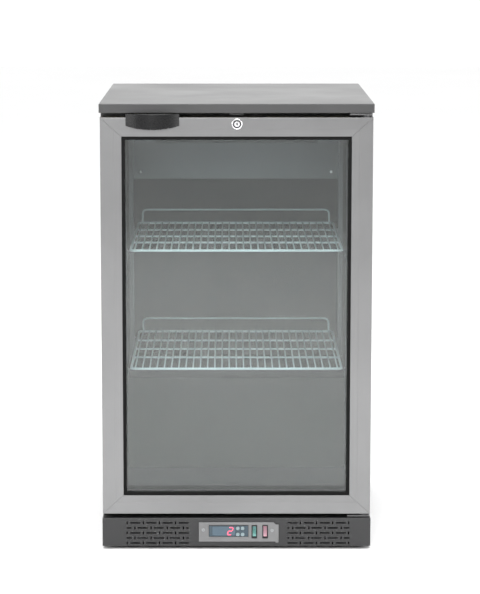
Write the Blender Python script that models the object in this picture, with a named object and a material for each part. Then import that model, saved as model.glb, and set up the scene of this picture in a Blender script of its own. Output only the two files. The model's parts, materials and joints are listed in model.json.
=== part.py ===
"""Undercounter refrigerator with one glass door, two wire shelves and a slotted machine panel.

Metres, +Z up. The origin is on the floor, under the middle of the cabinet's width and depth.
+X is the viewer's right and +Y runs from the door to the back.
"""

import math

import bmesh
import bpy
from mathutils import Matrix, Vector

# ---------------------------------------------------------------- driving dimensions
GAP = 0.0003                 # between pieces that rest on each other

TOP_Z = 0.830
TOP_UNDER_Z = 0.8133
TOP_X = 0.250
TOP_FRONT_Y = -0.255
TOP_BACK_Y = 0.265

SHEET = 0.0012               # thickness of the steel sheet
SHELL_X = 0.249
SHELL_Z = (0.010, 0.8130)
SHELL_BACK_Y = 0.2620
CORE_X = SHELL_X - SHEET - GAP
CORE_BACK_Y = SHELL_BACK_Y - SHEET - GAP
MOUTH_Y = -0.2035            # plane that the door gasket meets

LINER_X = 0.2130
LINER_FLOOR_Z = 0.0970
LINER_ROOF_Z = 0.7660
LINER_BACK_Y = 0.2280
HUMP_FRONT_Y = -0.0070
HUMP_TOP_Z = 0.2765
MACHINE_FRONT_Y = 0.0245
MACHINE_TOP_Z = 0.2460

DOOR_X = 0.248
DOOR_Z = (0.0674, 0.8050)
DOOR_FRONT_Y = -0.2520
DOOR_BACK_Y = -0.2140
STEP_IN = 0.0233             # width of the door frame's raised outer band
FRAME_IN = 0.0365            # whole width of the door frame's face
SIDE_STRETCH = 1.06          # stiles are a little wider than the rails
RAIL_STRETCH = 0.953

HINGE_X = 0.2355
HINGE_Y = -0.2330
PIN_R = 0.0035
PIN_BORE_R = 0.0036

LOCK_X = 0.0008
LOCK_Z = 0.7930

SHELF_Z = (0.329, 0.552)
SHELF_X = 0.199
SHELF_Y = (-0.1875, 0.2100)
SHELF_WIRES = 29
STEP_PITCH = (SHELF_Z[1] - SHELF_Z[0]) / 9

PANEL_Z = (0.006, 0.0594)
PANEL_Y = (-0.2520, -0.2040)
SLOT_PITCH = 0.0300
SLOT_ROWS = 5
SLOT_ROW_PITCH = 0.0096
SLOT_TOP_Z = 0.0502

ROCKER_Y = -0.2500
ROCKER_Z = 0.03405
ROCKER_TILT = math.radians(8)
SWITCH_X = (0.03325, 0.0533)
BUTTON_X = (0.0025, 0.0115)
BUTTON_Z = (0.0408, 0.0292)

FAN_CENTRE = Vector((-0.1025, 0.0, 0.1175))
FAN_R = 0.072
COMPRESSOR_AT = Vector((0.135, 0.150, 0.0))
FEET = {"front_left": (-0.215, -0.170), "front_right": (0.215, -0.170),
        "rear_left": (-0.215, 0.225), "rear_right": (0.215, 0.225)}


# ---------------------------------------------------------------- scene and materials
def clear_scene():
    for old in list(bpy.data.objects):
        bpy.data.objects.remove(old, do_unlink=True)


def material(name, colour, roughness, metallic=0.0, alpha=1.0):
    made = bpy.data.materials.new(name)
    made.use_nodes = True
    shader = made.node_tree.nodes["Principled BSDF"]
    shader.inputs["Base Color"].default_value = (*colour, 1.0)
    shader.inputs["Roughness"].default_value = roughness
    shader.inputs["Metallic"].default_value = metallic
    shader.inputs["Alpha"].default_value = alpha
    made.diffuse_color = (*colour, alpha)
    return made


# ---------------------------------------------------------------- shapes, each a bmesh
def face_outwards(bm):
    bmesh.ops.recalc_face_normals(bm, faces=bm.faces)
    if bm.calc_volume(signed=True) < 0:
        bmesh.ops.reverse_faces(bm, faces=bm.faces)
    return bm


def box(low, high):
    bm = bmesh.new()
    size = Vector(high) - Vector(low)
    middle = (Vector(high) + Vector(low)) / 2
    matrix = Matrix.Translation(middle) @ Matrix.Diagonal((*size, 1.0))
    bmesh.ops.create_cube(bm, size=1.0, matrix=matrix)
    return bm


def cylinder(start, end, radius, sides=20, end_radius=None):
    bm = bmesh.new()
    start, end = Vector(start), Vector(end)
    turn = Vector((0, 0, 1)).rotation_difference(end - start).to_matrix().to_4x4()
    matrix = Matrix.Translation((start + end) / 2) @ turn
    bmesh.ops.create_cone(bm, cap_ends=True, segments=sides, radius1=radius,
                          radius2=radius if end_radius is None else end_radius,
                          depth=(end - start).length, matrix=matrix)
    return bm


def prism(outline, axis, low, high):
    """A closed outline in the two other axes (in X, Y, Z order), extruded along axis."""
    bm = bmesh.new()

    def at(point, height):
        point = list(point)
        point.insert(axis, height)
        return bm.verts.new(point)

    face = bm.faces.new([at(p, low) for p in outline])
    moved = bmesh.ops.extrude_face_region(bm, geom=[face])
    shift = Vector((0, 0, 0))
    shift[axis] = high - low
    bmesh.ops.translate(bm, vec=shift, verts=[v for v in moved["geom"] if isinstance(v, bmesh.types.BMVert)])
    return face_outwards(bm)


def loft(rings, closed=False):
    """Quads between rings of points that all have the same count, with flat ends unless closed."""
    bm = bmesh.new()
    made = [[bm.verts.new(p) for p in ring] for ring in rings]
    pairs = list(zip(made, made[1:]))
    if closed:
        pairs.append((made[-1], made[0]))
    for first, second in pairs:
        for i in range(len(first)):
            j = (i + 1) % len(first)
            bm.faces.new((first[i], first[j], second[j], second[i]))
    if not closed:
        bm.faces.new(made[0])
        bm.faces.new(made[-1])
    return face_outwards(bm)


def turned(profile, centre, axis, sides=20):
    """A profile of (radius, height) spun about an axis through centre; it starts and ends on the axis."""
    rings = []
    for k in range(sides):
        angle = 2 * math.pi * k / sides
        ring = []
        for radius, height in profile:
            point = [radius * math.cos(angle), radius * math.sin(angle)]
            point.insert(axis, height)
            ring.append(Vector(centre) + Vector(point))
        rings.append(ring)
    bm = bmesh.new()
    grid = [[bm.verts.new(p) for p in ring] for ring in rings]
    for k in range(sides):
        first, second = grid[k], grid[(k + 1) % sides]
        for i in range(len(profile) - 1):
            bm.faces.new((first[i], first[i + 1], second[i + 1], second[i]))
    bmesh.ops.remove_doubles(bm, verts=bm.verts, dist=1e-6)
    bmesh.ops.dissolve_degenerate(bm, dist=1e-7, edges=bm.edges)
    return face_outwards(bm)


def pipe_in_side_view(x, route, radius, sides=8):
    """A round pipe that stays in the plane at x and follows a route of (y, z) points."""
    points = [Vector((x, y, z)) for y, z in route]
    rings = []
    for i, point in enumerate(points):
        ahead = (points[min(i + 1, len(points) - 1)] - points[max(i - 1, 0)]).normalized()
        out = ahead.cross(Vector((1, 0, 0)))
        rings.append([point + radius * (Vector((1, 0, 0)) * math.cos(a) + out * math.sin(a))
                      for a in (2 * math.pi * k / sides for k in range(sides))])
    return loft(rings)


def group(shapes):
    """Several shapes that don't touch each other, in one mesh."""
    whole = bmesh.new()
    for shape in shapes:
        mesh = bpy.data.meshes.new("part")
        shape.to_mesh(mesh)
        shape.free()
        whole.from_mesh(mesh)
        bpy.data.meshes.remove(mesh)
    return whole


# ---------------------------------------------------------------- objects
def empty(name, place, parent=None):
    made = bpy.data.objects.new(name, None)
    made.empty_display_size = 0.03
    bpy.context.collection.objects.link(made)
    made.location = Vector(place) - (parent.location if parent else Vector())
    made.parent = parent
    return made


def mesh_object(name, shape, origin, parent):
    mesh = bpy.data.meshes.new(name)
    bmesh.ops.translate(shape, vec=-Vector(origin), verts=shape.verts)
    shape.to_mesh(mesh)
    shape.free()
    made = bpy.data.objects.new(name, mesh)
    bpy.context.collection.objects.link(made)
    made.location = Vector(origin) - (parent.location if parent else Vector())
    made.parent = parent
    return made


def helper(name, shape, origin, parent):
    made = mesh_object(name, shape, origin, parent)
    made.hide_render = True
    made.display_type = "WIRE"
    return made


def piece(name, look, shape, add=(), cut=(), origin=(0, 0, 0), parent=None, bevel=0.0, smooth=False):
    """One named solid: a base shape, with others joined on and cut away."""
    made = mesh_object(name, shape, origin, parent)
    made.data.materials.append(look)
    if bevel:
        rounded = made.modifiers.new("edge_round", "BEVEL")
        rounded.width = bevel
        rounded.segments = 2
        rounded.limit_method = "ANGLE"
        rounded.angle_limit = math.radians(40)
    for kind, shapes in (("UNION", add), ("DIFFERENCE", cut)):
        for i, tool in enumerate(shapes):
            boolean = made.modifiers.new(f"{kind.lower()}_{i}", "BOOLEAN")
            boolean.operation = kind
            boolean.solver = "EXACT"
            boolean.object = helper(f"{name}_{kind.lower()}_{i}", tool, origin, parent)
    if smooth:
        made.data.shade_smooth()
        made.data.set_sharp_from_angle(angle=math.radians(35))
    return made


# ---------------------------------------------------------------- cabinet
def liner_outline(out):
    """The cavity's side view, with its step over the machine space, grown outwards by out."""
    return [(-0.30, LINER_FLOOR_Z - out), (HUMP_FRONT_Y + out, LINER_FLOOR_Z - out),
            (HUMP_FRONT_Y + out, HUMP_TOP_Z - out), (LINER_BACK_Y + out, HUMP_TOP_Z - out),
            (LINER_BACK_Y + out, LINER_ROOF_Z + out), (-0.30, LINER_ROOF_Z + out)]


def make_cabinet(looks):
    piece("worktop", looks["steel_top"],
          box((-TOP_X, TOP_FRONT_Y, TOP_UNDER_Z), (TOP_X, TOP_BACK_Y, TOP_Z)), bevel=0.0014,
          cut=[box((-CORE_X - GAP, -0.2019, 0.80), (CORE_X + GAP, CORE_BACK_Y + GAP, TOP_Z - SHEET))])

    inner = SHELL_X - SHEET
    walls = [(-SHELL_X, MOUTH_Y), (-inner, MOUTH_Y), (-inner, SHELL_BACK_Y - SHEET),
             (inner, SHELL_BACK_Y - SHEET), (inner, MOUTH_Y), (SHELL_X, MOUTH_Y),
             (SHELL_X, SHELL_BACK_Y - 0.001), (SHELL_X - 0.001, SHELL_BACK_Y),
             (0.001 - SHELL_X, SHELL_BACK_Y), (-SHELL_X, SHELL_BACK_Y - 0.001)]
    piece("outer_shell", looks["body_paint"], prism(walls, 2, *SHELL_Z),
          cut=[box((-0.230, 0.2500, 0.0), (0.230, 0.2700, 0.250))])

    slots = []
    for column in (-0.14, 0.0, 0.14):
        for row in range(7):
            z = 0.050 + 0.026 * row
            if column > 0.1 and row == 0:
                continue
            slots.append(box((column - 0.055, 0.25, z - 0.004), (column + 0.055, 0.28, z + 0.004)))
    piece("rear_grille", looks["black_steel"],
          box((-0.238, 0.2623, 0.014), (0.238, 0.2633, 0.258)),
          add=[group([box((x - 0.02, 0.2630, 0.225), (x + 0.02, 0.2700, 0.250)) for x in (-0.20, 0.20)])],
          cut=[group(slots), cylinder((0.190, 0.25, 0.046), (0.190, 0.28, 0.046), 0.0066, 16)])
    piece("cable_gland", looks["black_plastic"],
          cylinder((0.190, 0.2545, 0.046), (0.190, 0.2690, 0.046), 0.0062, 16),
          add=[cylinder((0.190, 0.2636, 0.046), (0.190, 0.2680, 0.046), 0.0095, 6)],
          cut=[cylinder((0.190, 0.25, 0.046), (0.190, 0.28, 0.046), 0.0036, 16)])

    piece("base_plate", looks["galvanised"],
          box((-CORE_X, -0.2000, 0.0125), (CORE_X, CORE_BACK_Y, 0.0140)),
          cut=[group([cylinder((x, y, 0.0), (x, y, 0.03), 0.0046, 16) for x, y in FEET.values()])])

    piece("insulated_body", looks["foam"],
          box((-CORE_X, MOUTH_Y + 0.0020, 0.0605), (CORE_X, CORE_BACK_Y, TOP_Z - SHEET - GAP)),
          cut=[prism(liner_outline(0.0015), 0, -LINER_X - 0.0015, LINER_X + 0.0015),
               box((-0.30, MACHINE_FRONT_Y, 0.05), (0.30, 0.30, MACHINE_TOP_Z)),
               box((0.170, 0.236, 0.20), (0.190, 0.30, 0.712)),
               cylinder((0.180, 0.22, 0.700), (0.180, 0.25, 0.700), 0.0080, 12)])
    piece("inner_liner", looks["liner"],
          prism([(y if y > -0.29 else MOUTH_Y + 0.0022, z) for y, z in liner_outline(SHEET)],
                0, -LINER_X - SHEET, LINER_X + SHEET),
          cut=[prism(liner_outline(0.0), 0, -LINER_X, LINER_X),
               cylinder((0.180, 0.22, 0.700), (0.180, 0.25, 0.700), 0.0060, 12)])
    piece("mouth_frame", looks["body_paint"],
          box((-CORE_X, MOUTH_Y, 0.0620), (CORE_X, MOUTH_Y + 0.0015, SHELL_Z[1])),
          cut=[box((-LINER_X, -0.25, LINER_FLOOR_Z), (LINER_X, -0.15, LINER_ROOF_Z))])


def make_lock_catch(looks):
    """An angle under the worktop's front; the cam turns up behind its hanging lip."""
    side = [(-0.2150, 0.8062), (-0.2135, 0.8062), (-0.2135, 0.8115), (MOUTH_Y - GAP, 0.8115),
            (MOUTH_Y - GAP, 0.8130), (-0.2150, 0.8130)]
    piece("lock_catch", looks["bezel_metal"], prism(side, 0, -0.013, 0.013))


def slot_row(low, high, first_upright, first_long, z):
    """One row of the grille: long slots with a short upright slot between them, cut off at the group's ends."""
    made = []
    for k in range(-1, 5):
        x = first_upright + SLOT_PITCH * k
        if low <= x - 0.0012 and x + 0.0012 <= high:
            made.append(box((x - 0.00125, -0.26, z - 0.0028), (x + 0.00125, -0.24, z + 0.0028)))
        a = max(first_long + SLOT_PITCH * k - 0.0096, low)
        b = min(first_long + SLOT_PITCH * k + 0.0096, high)
        if b - a > 0.003:
            made.append(box((a, -0.26, z - 0.0013), (b, -0.24, z + 0.0013)))
    return made


def make_machine_panel(looks):
    slots = []
    for row in range(SLOT_ROWS):
        z = SLOT_TOP_Z - SLOT_ROW_PITCH * row
        shifted = row % 2
        slots += slot_row(-0.2045, -0.0883, (-0.2031, -0.1886)[shifted], (-0.1879, -0.1741)[shifted], z)
        slots += slot_row(0.0945, 0.2105, (0.1186, 0.1047)[shifted], (0.1042, 0.1189)[shifted], z)
    piece("kick_panel", looks["panel_paint"],
          box((-SHELL_X, PANEL_Y[0], PANEL_Z[0]), (SHELL_X, PANEL_Y[1], PANEL_Z[1])), bevel=0.0008,
          cut=[box((-SHELL_X + SHEET, PANEL_Y[0] + SHEET, PANEL_Z[0] + SHEET),
                   (SHELL_X - SHEET, -0.15, PANEL_Z[1] - SHEET)),
               group(slots), box((-0.0505, -0.26, 0.0215), (0.0610, -0.24, 0.0480))])

    plate = [(-0.0698, 0.0149), (0.0728, 0.0149), (0.0728, 0.0479), (0.0688, 0.0519), (-0.0698, 0.0519)]
    openings = [box((-0.0495, -0.26, 0.0252), (0.0205, -0.24, 0.0458))]
    openings += [box((x - 0.0050, -0.26, 0.0220), (x + 0.0050, -0.24, 0.0461)) for x in SWITCH_X]
    piece("control_bezel", looks["bezel_metal"], prism(plate, 1, -0.2538, -0.2526),
          add=[box((0.0720, -0.2532, 0.0130), (0.0784, -0.2524, 0.0476))],
          cut=[group(openings)])

    holes = [cylinder((x, -0.26, z), (x, -0.2520, z), 0.0037, 16) for x in BUTTON_X for z in BUTTON_Z]
    piece("thermostat_body", looks["black_plastic"],
          box((-0.0490, -0.2556, 0.0257), (0.0200, -0.2100, 0.0453)),
          add=[box((-0.0512, -0.2556, 0.0247), (0.0223, -0.2541, 0.0463))],
          cut=[group([box((-0.0450, -0.26, 0.0270), (-0.0020, -0.2546, 0.0440))]), group(holes)])
    piece("display_window", looks["display"],
          box((-0.0447, -0.2559, 0.0273), (-0.0023, -0.2549, 0.0437)))
    names = {(0, 0): "set", (1, 0): "up", (0, 1): "defrost", (1, 1): "down"}
    for (i, j), word in names.items():
        x, z = BUTTON_X[i], BUTTON_Z[j]
        piece(f"thermostat_button_{word}", looks["grey_plastic"],
              cylinder((x, -0.2568, z), (x, -0.2540, z), 0.0034, 16), origin=(x, -0.2554, z), smooth=True)

    for word, x, look in (("light", SWITCH_X[0], "rocker_green"), ("power", SWITCH_X[1], "rocker_red")):
        pin_hole = cylinder((x - 0.0040, ROCKER_Y, ROCKER_Z), (x + 0.0040, ROCKER_Y, ROCKER_Z), 0.00095, 12)
        piece(f"{word}_switch_body", looks["black_plastic"],
              box((x - 0.0046, -0.2552, 0.0225), (x + 0.0046, -0.2290, 0.0456)),
              add=[box((x - 0.0052, -0.2552, 0.0215), (x + 0.0052, -0.2541, 0.0466))],
              cut=[box((x - 0.0036, -0.26, 0.0232), (x + 0.0036, -0.2440, 0.0449)), pin_hole])
        side = []
        for z, y in ((-0.0094, -0.0032), (0.0, -0.0018), (0.0094, -0.0032), (0.0094, 0.0015), (-0.0094, 0.0015)):
            side.append((ROCKER_Y + y * math.cos(ROCKER_TILT) + z * math.sin(ROCKER_TILT),
                         ROCKER_Z - y * math.sin(ROCKER_TILT) + z * math.cos(ROCKER_TILT)))
        piece(f"{word}_switch_rocker", looks[look], prism(side, 0, x - 0.0033, x + 0.0033),
              add=[cylinder((x - 0.0039, ROCKER_Y, ROCKER_Z), (x + 0.0039, ROCKER_Y, ROCKER_Z), 0.0008, 12)],
              origin=(x, ROCKER_Y, ROCKER_Z))


# ---------------------------------------------------------------- door and its hinges
def frame_member(start, end):
    """A mitred length of the door frame between two outer corners, each (x sign, z sign)."""
    section = [(0.0, -0.2505), (0.0015, DOOR_FRONT_Y), (STEP_IN - 0.0004, DOOR_FRONT_Y),
               (STEP_IN + 0.0006, -0.2496), (FRAME_IN - 0.0010, -0.2490), (FRAME_IN, -0.2480),
               (FRAME_IN, -0.2456), (0.0325, -0.2456), (0.0325, -0.2200), (FRAME_IN, -0.2200),
               (FRAME_IN, DOOR_BACK_Y), (0.0, DOOR_BACK_Y)]
    along = Vector((end[0] - start[0], 0, end[1] - start[1])).normalized()
    rings = []
    for (sx, sz), shift in ((start, GAP / 2), (end, -GAP / 2)):
        corner = Vector((sx * DOOR_X, 0, DOOR_Z[1] if sz > 0 else DOOR_Z[0]))
        rings.append([corner + Vector((-sx * u * SIDE_STRETCH, y, -sz * u * RAIL_STRETCH)) + along * shift
                      for u, y in section])
    return loft(rings)


def ring_plate(outer_in, inner_in, front, back):
    """A rectangular ring in the door's plane; both insets are measured from the door's outer edge."""
    def rectangle(inset):
        x, low, high = DOOR_X - inset * SIDE_STRETCH, DOOR_Z[0] + inset * RAIL_STRETCH, DOOR_Z[1] - inset * RAIL_STRETCH
        return [(-x, low), (x, low), (x, high), (-x, high)]
    rings = []
    for inset, y in ((outer_in, front), (inner_in, front), (inner_in, back), (outer_in, back)):
        rings.append([Vector((x, y, z)) for x, z in rectangle(inset)])
    return loft(rings, closed=True)


def handle_shell(width_share, wall, top, low_edge):
    """The pull's plan is a shallow bow; its lower edge sags towards the middle."""
    middle, half, columns = -0.15265, 0.04865, 14
    rings = []
    for k in range(columns + 1):
        s = width_share * (2 * k / columns - 1)
        bow = 1 - (s / 1.0) ** 2
        front = -0.2546 - 0.0154 * bow + wall
        back = -0.2523 if wall == 0 else -0.2543
        low = low_edge - (0.0062 * bow if wall == 0 else 0.0)
        x = middle + half * s
        rings.append([(x, back, top), (x, front, top), (x, front, low), (x, back, low)])
    return loft(rings)


def make_door(looks, axis):
    pin_holes = [((HINGE_X, HINGE_Y, 0.7925), (HINGE_X, HINGE_Y, 0.8070)),
                 ((HINGE_X, HINGE_Y, 0.0660), (HINGE_X, HINGE_Y, 0.0800))]
    bores = {"top": [0], "bottom": [1], "left": [], "right": [0, 1]}
    corners = {"top": ((-1, 1), (1, 1)), "bottom": ((-1, -1), (1, -1)),
               "left": ((-1, -1), (-1, 1)), "right": ((1, -1), (1, 1))}
    for side, (start, end) in corners.items():
        cuts = [group([cylinder(*pin_holes[i], PIN_BORE_R, 20)]) for i in bores[side]]
        if side == "top":
            cuts.append(cylinder((LOCK_X, -0.27, LOCK_Z), (LOCK_X, -0.20, LOCK_Z), 0.0083, 24))
        piece(f"door_frame_{side}", looks["door_metal"], frame_member(start, end), cut=cuts, parent=axis)

    glass_in = 0.0335
    x = DOOR_X - glass_in * SIDE_STRETCH
    low, high = DOOR_Z[0] + glass_in * RAIL_STRETCH, DOOR_Z[1] - glass_in * RAIL_STRETCH
    piece("outer_glass", looks["glass"], box((-x, -0.2450, low), (x, -0.2410, high)), parent=axis)
    piece("inner_glass", looks["glass"], box((-x, -0.2245, low), (x, -0.2205, high)), parent=axis)
    piece("glass_spacer", looks["black_plastic"], ring_plate(0.0339, 0.0428, -0.2407, -0.2248), parent=axis)

    gasket = []
    for inset, y in ((0.0, DOOR_BACK_Y + GAP), (0.015, DOOR_BACK_Y + GAP), (0.015, -0.2060),
                     (0.013, MOUTH_Y - GAP), (0.002, MOUTH_Y - GAP), (0.0, -0.2060)):
        gasket.append([Vector((sx * (0.2335 - inset), y, z)) for sx, z in
                       ((-1, 0.0805 + inset), (1, 0.0805 + inset), (1, 0.7830 - inset), (-1, 0.7830 - inset))])
    piece("door_gasket", looks["rubber"], loft(gasket, closed=True), parent=axis)

    piece("door_handle", looks["gloss_black"], handle_shell(1.0, 0.0, 0.8120, 0.7897),
          add=[box((-0.1950, -0.2535, 0.8053), (-0.1100, -0.2400, 0.8076))],
          cut=[handle_shell(0.84, 0.0025, 0.8088, 0.7700)], parent=axis, smooth=True)

    piece("lock_barrel", looks["chrome"],
          cylinder((LOCK_X, -0.2523, LOCK_Z), (LOCK_X, -0.2127, LOCK_Z), 0.0080, 24),
          add=[cylinder((LOCK_X, -0.2523, LOCK_Z), (LOCK_X, -0.2545, LOCK_Z), 0.0098, 24, 0.0086)],
          cut=[cylinder((LOCK_X, -0.27, LOCK_Z), (LOCK_X, -0.20, LOCK_Z), 0.0062, 24)],
          parent=axis, smooth=True)
    turn = empty("lock_axis", (LOCK_X, -0.2330, LOCK_Z), axis)
    turn_world = Vector((LOCK_X, -0.2330, LOCK_Z))
    plug = mesh_parented(
        "lock_plug", looks["chrome"], cylinder((LOCK_X, -0.2548, LOCK_Z), (LOCK_X, -0.2112, LOCK_Z), 0.0060, 24),
        turn, turn_world,
        add=[box((LOCK_X - 0.0165, -0.2122, LOCK_Z - 0.0045), (LOCK_X + 0.0050, -0.2102, LOCK_Z + 0.0045))],
        cut=[box((LOCK_X - 0.0006, -0.26, LOCK_Z - 0.0030), (LOCK_X + 0.0006, -0.2510, LOCK_Z + 0.0030))])
    return plug


def mesh_parented(name, look, shape, parent, world, add=(), cut=()):
    """A piece whose parent empty is itself parented, so its own place is set from the world."""
    made = piece(name, look, shape, add=add, cut=cut, origin=world)
    for item in [made] + [m.object for m in made.modifiers if m.type == "BOOLEAN"]:
        item.parent = parent
        item.location = (0, 0, 0)
    return made


def make_hinges(looks):
    for word, leg, upright, pin, collar in (
            ("upper", (0.8085, 0.8112), (0.7880, 0.8112), (0.7940, 0.8090), (0.8056, 0.8090)),
            ("lower", (0.0600, 0.0627), (0.0600, 0.0780), (0.0615, 0.0785), (0.0615, 0.0671))):
        at = (HINGE_X, HINGE_Y)
        piece(f"hinge_bracket_{word}", looks["bezel_metal"],
              box((0.2060, -0.2430, leg[0]), (0.2470, -0.2040, leg[1])),
              add=[box((0.2060, -0.2066, upright[0]), (0.2470, -0.2040, upright[1])),
                   cylinder((*at, collar[0]), (*at, collar[1]), 0.0060, 20),
                   cylinder((*at, pin[0]), (*at, pin[1]), PIN_R, 20)])


# ---------------------------------------------------------------- inside
def make_pilasters(looks):
    for word, y, low, first in (("front", -0.169, 0.130, -7), ("rear", 0.144, 0.290, 0)):
        for hand, side in (("left", -1), ("right", 1)):
            def across(a, b, y0, y1, z0, z1):
                xs = sorted((side * a, side * b))
                return box((xs[0], y + y0, z0), (xs[1], y + y1, z1))
            slots = []
            for k in range(first, 17):
                z = SHELF_Z[0] - 0.0128 + STEP_PITCH * k
                slots.append(across(0.2030, 0.2062, -0.0028, 0.0028, z - 0.0016, z + 0.0016))
            piece(f"pilaster_{word}_{hand}", looks["steel_bright"],
                  across(0.2045, 0.2126, -0.009, 0.009, low, 0.745),
                  cut=[across(0.2056, 0.2140, -0.0079, 0.0079, low - 0.01, 0.755), group(slots)])
            for level, height in (("lower", SHELF_Z[0]), ("upper", SHELF_Z[1])):
                z = height - 0.0028
                piece(f"shelf_clip_{level}_{word}_{hand}", looks["steel_bright"],
                      across(0.2024, 0.2042, -0.008, 0.008, z - 0.0150, z + 0.0020),
                      add=[across(0.1900, 0.2030, -0.008, 0.008, z - 0.0024, z),
                           across(0.2035, 0.2075, -0.0022, 0.0022, z - 0.0110, z - 0.0090)])


def make_shelves(looks):
    for word, z in (("lower", SHELF_Z[0]), ("upper", SHELF_Z[1])):
        wires = []
        for k in range(SHELF_WIRES):
            x = -0.189 + 0.378 * k / (SHELF_WIRES - 1)
            wires.append(box((x - 0.0013, SHELF_Y[0] + 0.0030, z - 0.0010), (x + 0.0013, SHELF_Y[1] - 0.0030, z + 0.0016)))
        stop = [(-0.1910, z), (-0.1870, z), (-0.1870, z + 0.0250), (0.1870, z + 0.0250), (0.1870, z),
                (0.1910, z), (0.1910, z + 0.0290), (-0.1910, z + 0.0290)]
        piece(f"shelf_{word}", looks["shelf_wire"],
              box((-SHELF_X, SHELF_Y[0], z - 0.0025), (SHELF_X, SHELF_Y[1], z + 0.0025)),
              cut=[box((-SHELF_X + 0.005, SHELF_Y[0] + 0.005, z - 0.01), (SHELF_X - 0.005, SHELF_Y[1] - 0.005, z + 0.01))])
        made = bpy.data.objects[f"shelf_{word}"]
        for i, shape in enumerate((group(wires),
                                   box((-0.1965, 0.0230, z - 0.0040), (0.1965, 0.0270, z - 0.0004)),
                                   prism(stop, 1, SHELF_Y[1] - 0.0042, SHELF_Y[1] - 0.0008))):
            boolean = made.modifiers.new(f"wires_{i}", "BOOLEAN")
            boolean.operation = "UNION"
            boolean.solver = "EXACT"
            boolean.object = helper(f"shelf_{word}_wires_{i}", shape, (0, 0, 0), None)


def comb(x0, x1, y0, y1, fins, depth):
    """Plan of a finned block: a bar with grooves cut from its front, one between each two fins."""
    pitch = (x1 - x0) / fins
    outline = [(x0, y1), (x0, y0)]
    for k in range(fins - 1):
        a = x0 + pitch * (k + 1) - 0.35 * pitch
        b = x0 + pitch * (k + 1) + 0.35 * pitch
        outline += [(a, y0), (a, y0 + depth), (b, y0 + depth), (b, y0)]
    return outline + [(x1, y0), (x1, y1)]


def make_cold_side(looks):
    slots = [box((x - 0.022, 0.200, 0.640), (x + 0.022, 0.218, 0.650)) for x in (-0.16, -0.096, -0.032, 0.032, 0.096, 0.16)]
    piece("evaporator_cover", looks["steel_bright"],
          box((-0.2120, 0.1900, 0.6440), (0.2120, 0.2275, 0.7655)),
          cut=[box((-0.2108, 0.1912, 0.6452), (0.2108, 0.24, 0.7643)), group(slots)])
    suction_route = [(0.1600, 0.1840), (0.1600, 0.2000), (0.1660, 0.2140), (0.1800, 0.2200), (0.2280, 0.2200),
                     (0.2400, 0.2260), (0.2460, 0.2380), (0.2460, 0.6830), (0.2430, 0.6940),
                     (0.2340, 0.7000), (0.2080, 0.7000)]
    piece("evaporator_coil", looks["aluminium"],
          prism(comb(-0.185, 0.160, 0.1960, 0.2200, 16, 0.018), 2, 0.665, 0.755),
          add=[pipe_in_side_view(0.180, suction_route, 0.0035),
               cylinder((0.150, 0.2130, 0.700), (0.180, 0.2130, 0.700), 0.0035, 8)])
    piece("light_bar", looks["lamp"], box((-0.150, -0.192, 0.7530), (0.150, -0.172, 0.7657)), bevel=0.003)


# ---------------------------------------------------------------- machine space
def make_machine(looks):
    cx, cy = COMPRESSOR_AT.x, COMPRESSOR_AT.y
    profile = [(0.0, 0.0310), (0.040, 0.0330), (0.056, 0.0420), (0.060, 0.0560), (0.060, 0.098), (0.063, 0.100),
               (0.063, 0.106), (0.060, 0.108), (0.058, 0.150), (0.050, 0.166), (0.030, 0.176), (0.0, 0.180)]
    legs = [cylinder((cx + a, cy + b, 0.0144), (cx + a, cy + b, 0.0300), 0.009, 12)
            for a in (-0.070, 0.060) for b in (-0.042, 0.042)]
    piece("compressor", looks["black_steel"], turned(profile, (cx, cy, 0), 2, 24),
          add=[box((cx - 0.082, cy - 0.054, 0.0290), (cx + 0.072, cy + 0.054, 0.0320)), group(legs),
               box((cx - 0.022, cy + 0.050, 0.085), (cx + 0.022, cy + 0.082, 0.130)),
               cylinder((0.180, cy + 0.010, 0.120), (0.180, cy + 0.010, 0.183), 0.0055, 12)],
          smooth=True)
    piece("condenser", looks["black_steel"], prism(comb(-0.235, 0.030, 0.0400, 0.0800, 18, 0.030), 2, 0.0250, 0.2100),
          add=[box((-0.235, 0.0700, 0.0144), (0.030, 0.0800, 0.0260))])

    fan_y = (0.1160, 0.1360)
    x, z = FAN_CENTRE.x, FAN_CENTRE.z
    piece("condenser_fan_motor", looks["black_steel"],
          cylinder((x, 0.1480, z), (x, 0.1980, z), 0.030, 24),
          add=[prism([(x - 0.030, 0.0144), (x + 0.030, 0.0144), (x + 0.012, z), (x - 0.012, z)], 1, 0.1840, 0.1920),
               box((x - 0.035, 0.1700, 0.0144), (x + 0.035, 0.2050, 0.0165))],
          cut=[cylinder((x, 0.14, z), (x, 0.170, z), 0.0031, 20)], smooth=True)
    blades = []
    for k in range(5):
        angle = 2 * math.pi * k / 5
        rings = []
        for r, half, pitch in ((0.015, 0.010, 40), (0.045, 0.019, 30), (FAN_R, 0.024, 22)):
            lean = math.radians(pitch)
            points = []
            for along, thick in ((-half, -0.0007), (half, -0.0007), (half, 0.0007), (-half, 0.0007)):
                sweep = angle + along * math.cos(lean) / r * 0.9
                y = 0.126 + along * math.sin(lean) * 0.85 + thick
                points.append((x + r * math.cos(sweep), y, z + r * math.sin(sweep)))
            rings.append(points)
        blades.append(loft(rings))
    piece("condenser_fan_blade", looks["black_plastic"],
          cylinder((x, fan_y[0], z), (x, fan_y[1] + 0.004, z), 0.0185, 20),
          add=[group(blades), cylinder((x, 0.135, z), (x, 0.165, z), 0.0030, 20)],
          origin=(x, 0.126, z), smooth=True)

    piece("condensate_tray", looks["black_plastic"], box((-0.080, 0.0950, 0.0144), (0.030, 0.1620, 0.0400)),
          cut=[box((-0.0785, 0.0965, 0.0160), (0.0285, 0.1605, 0.05))])


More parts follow.
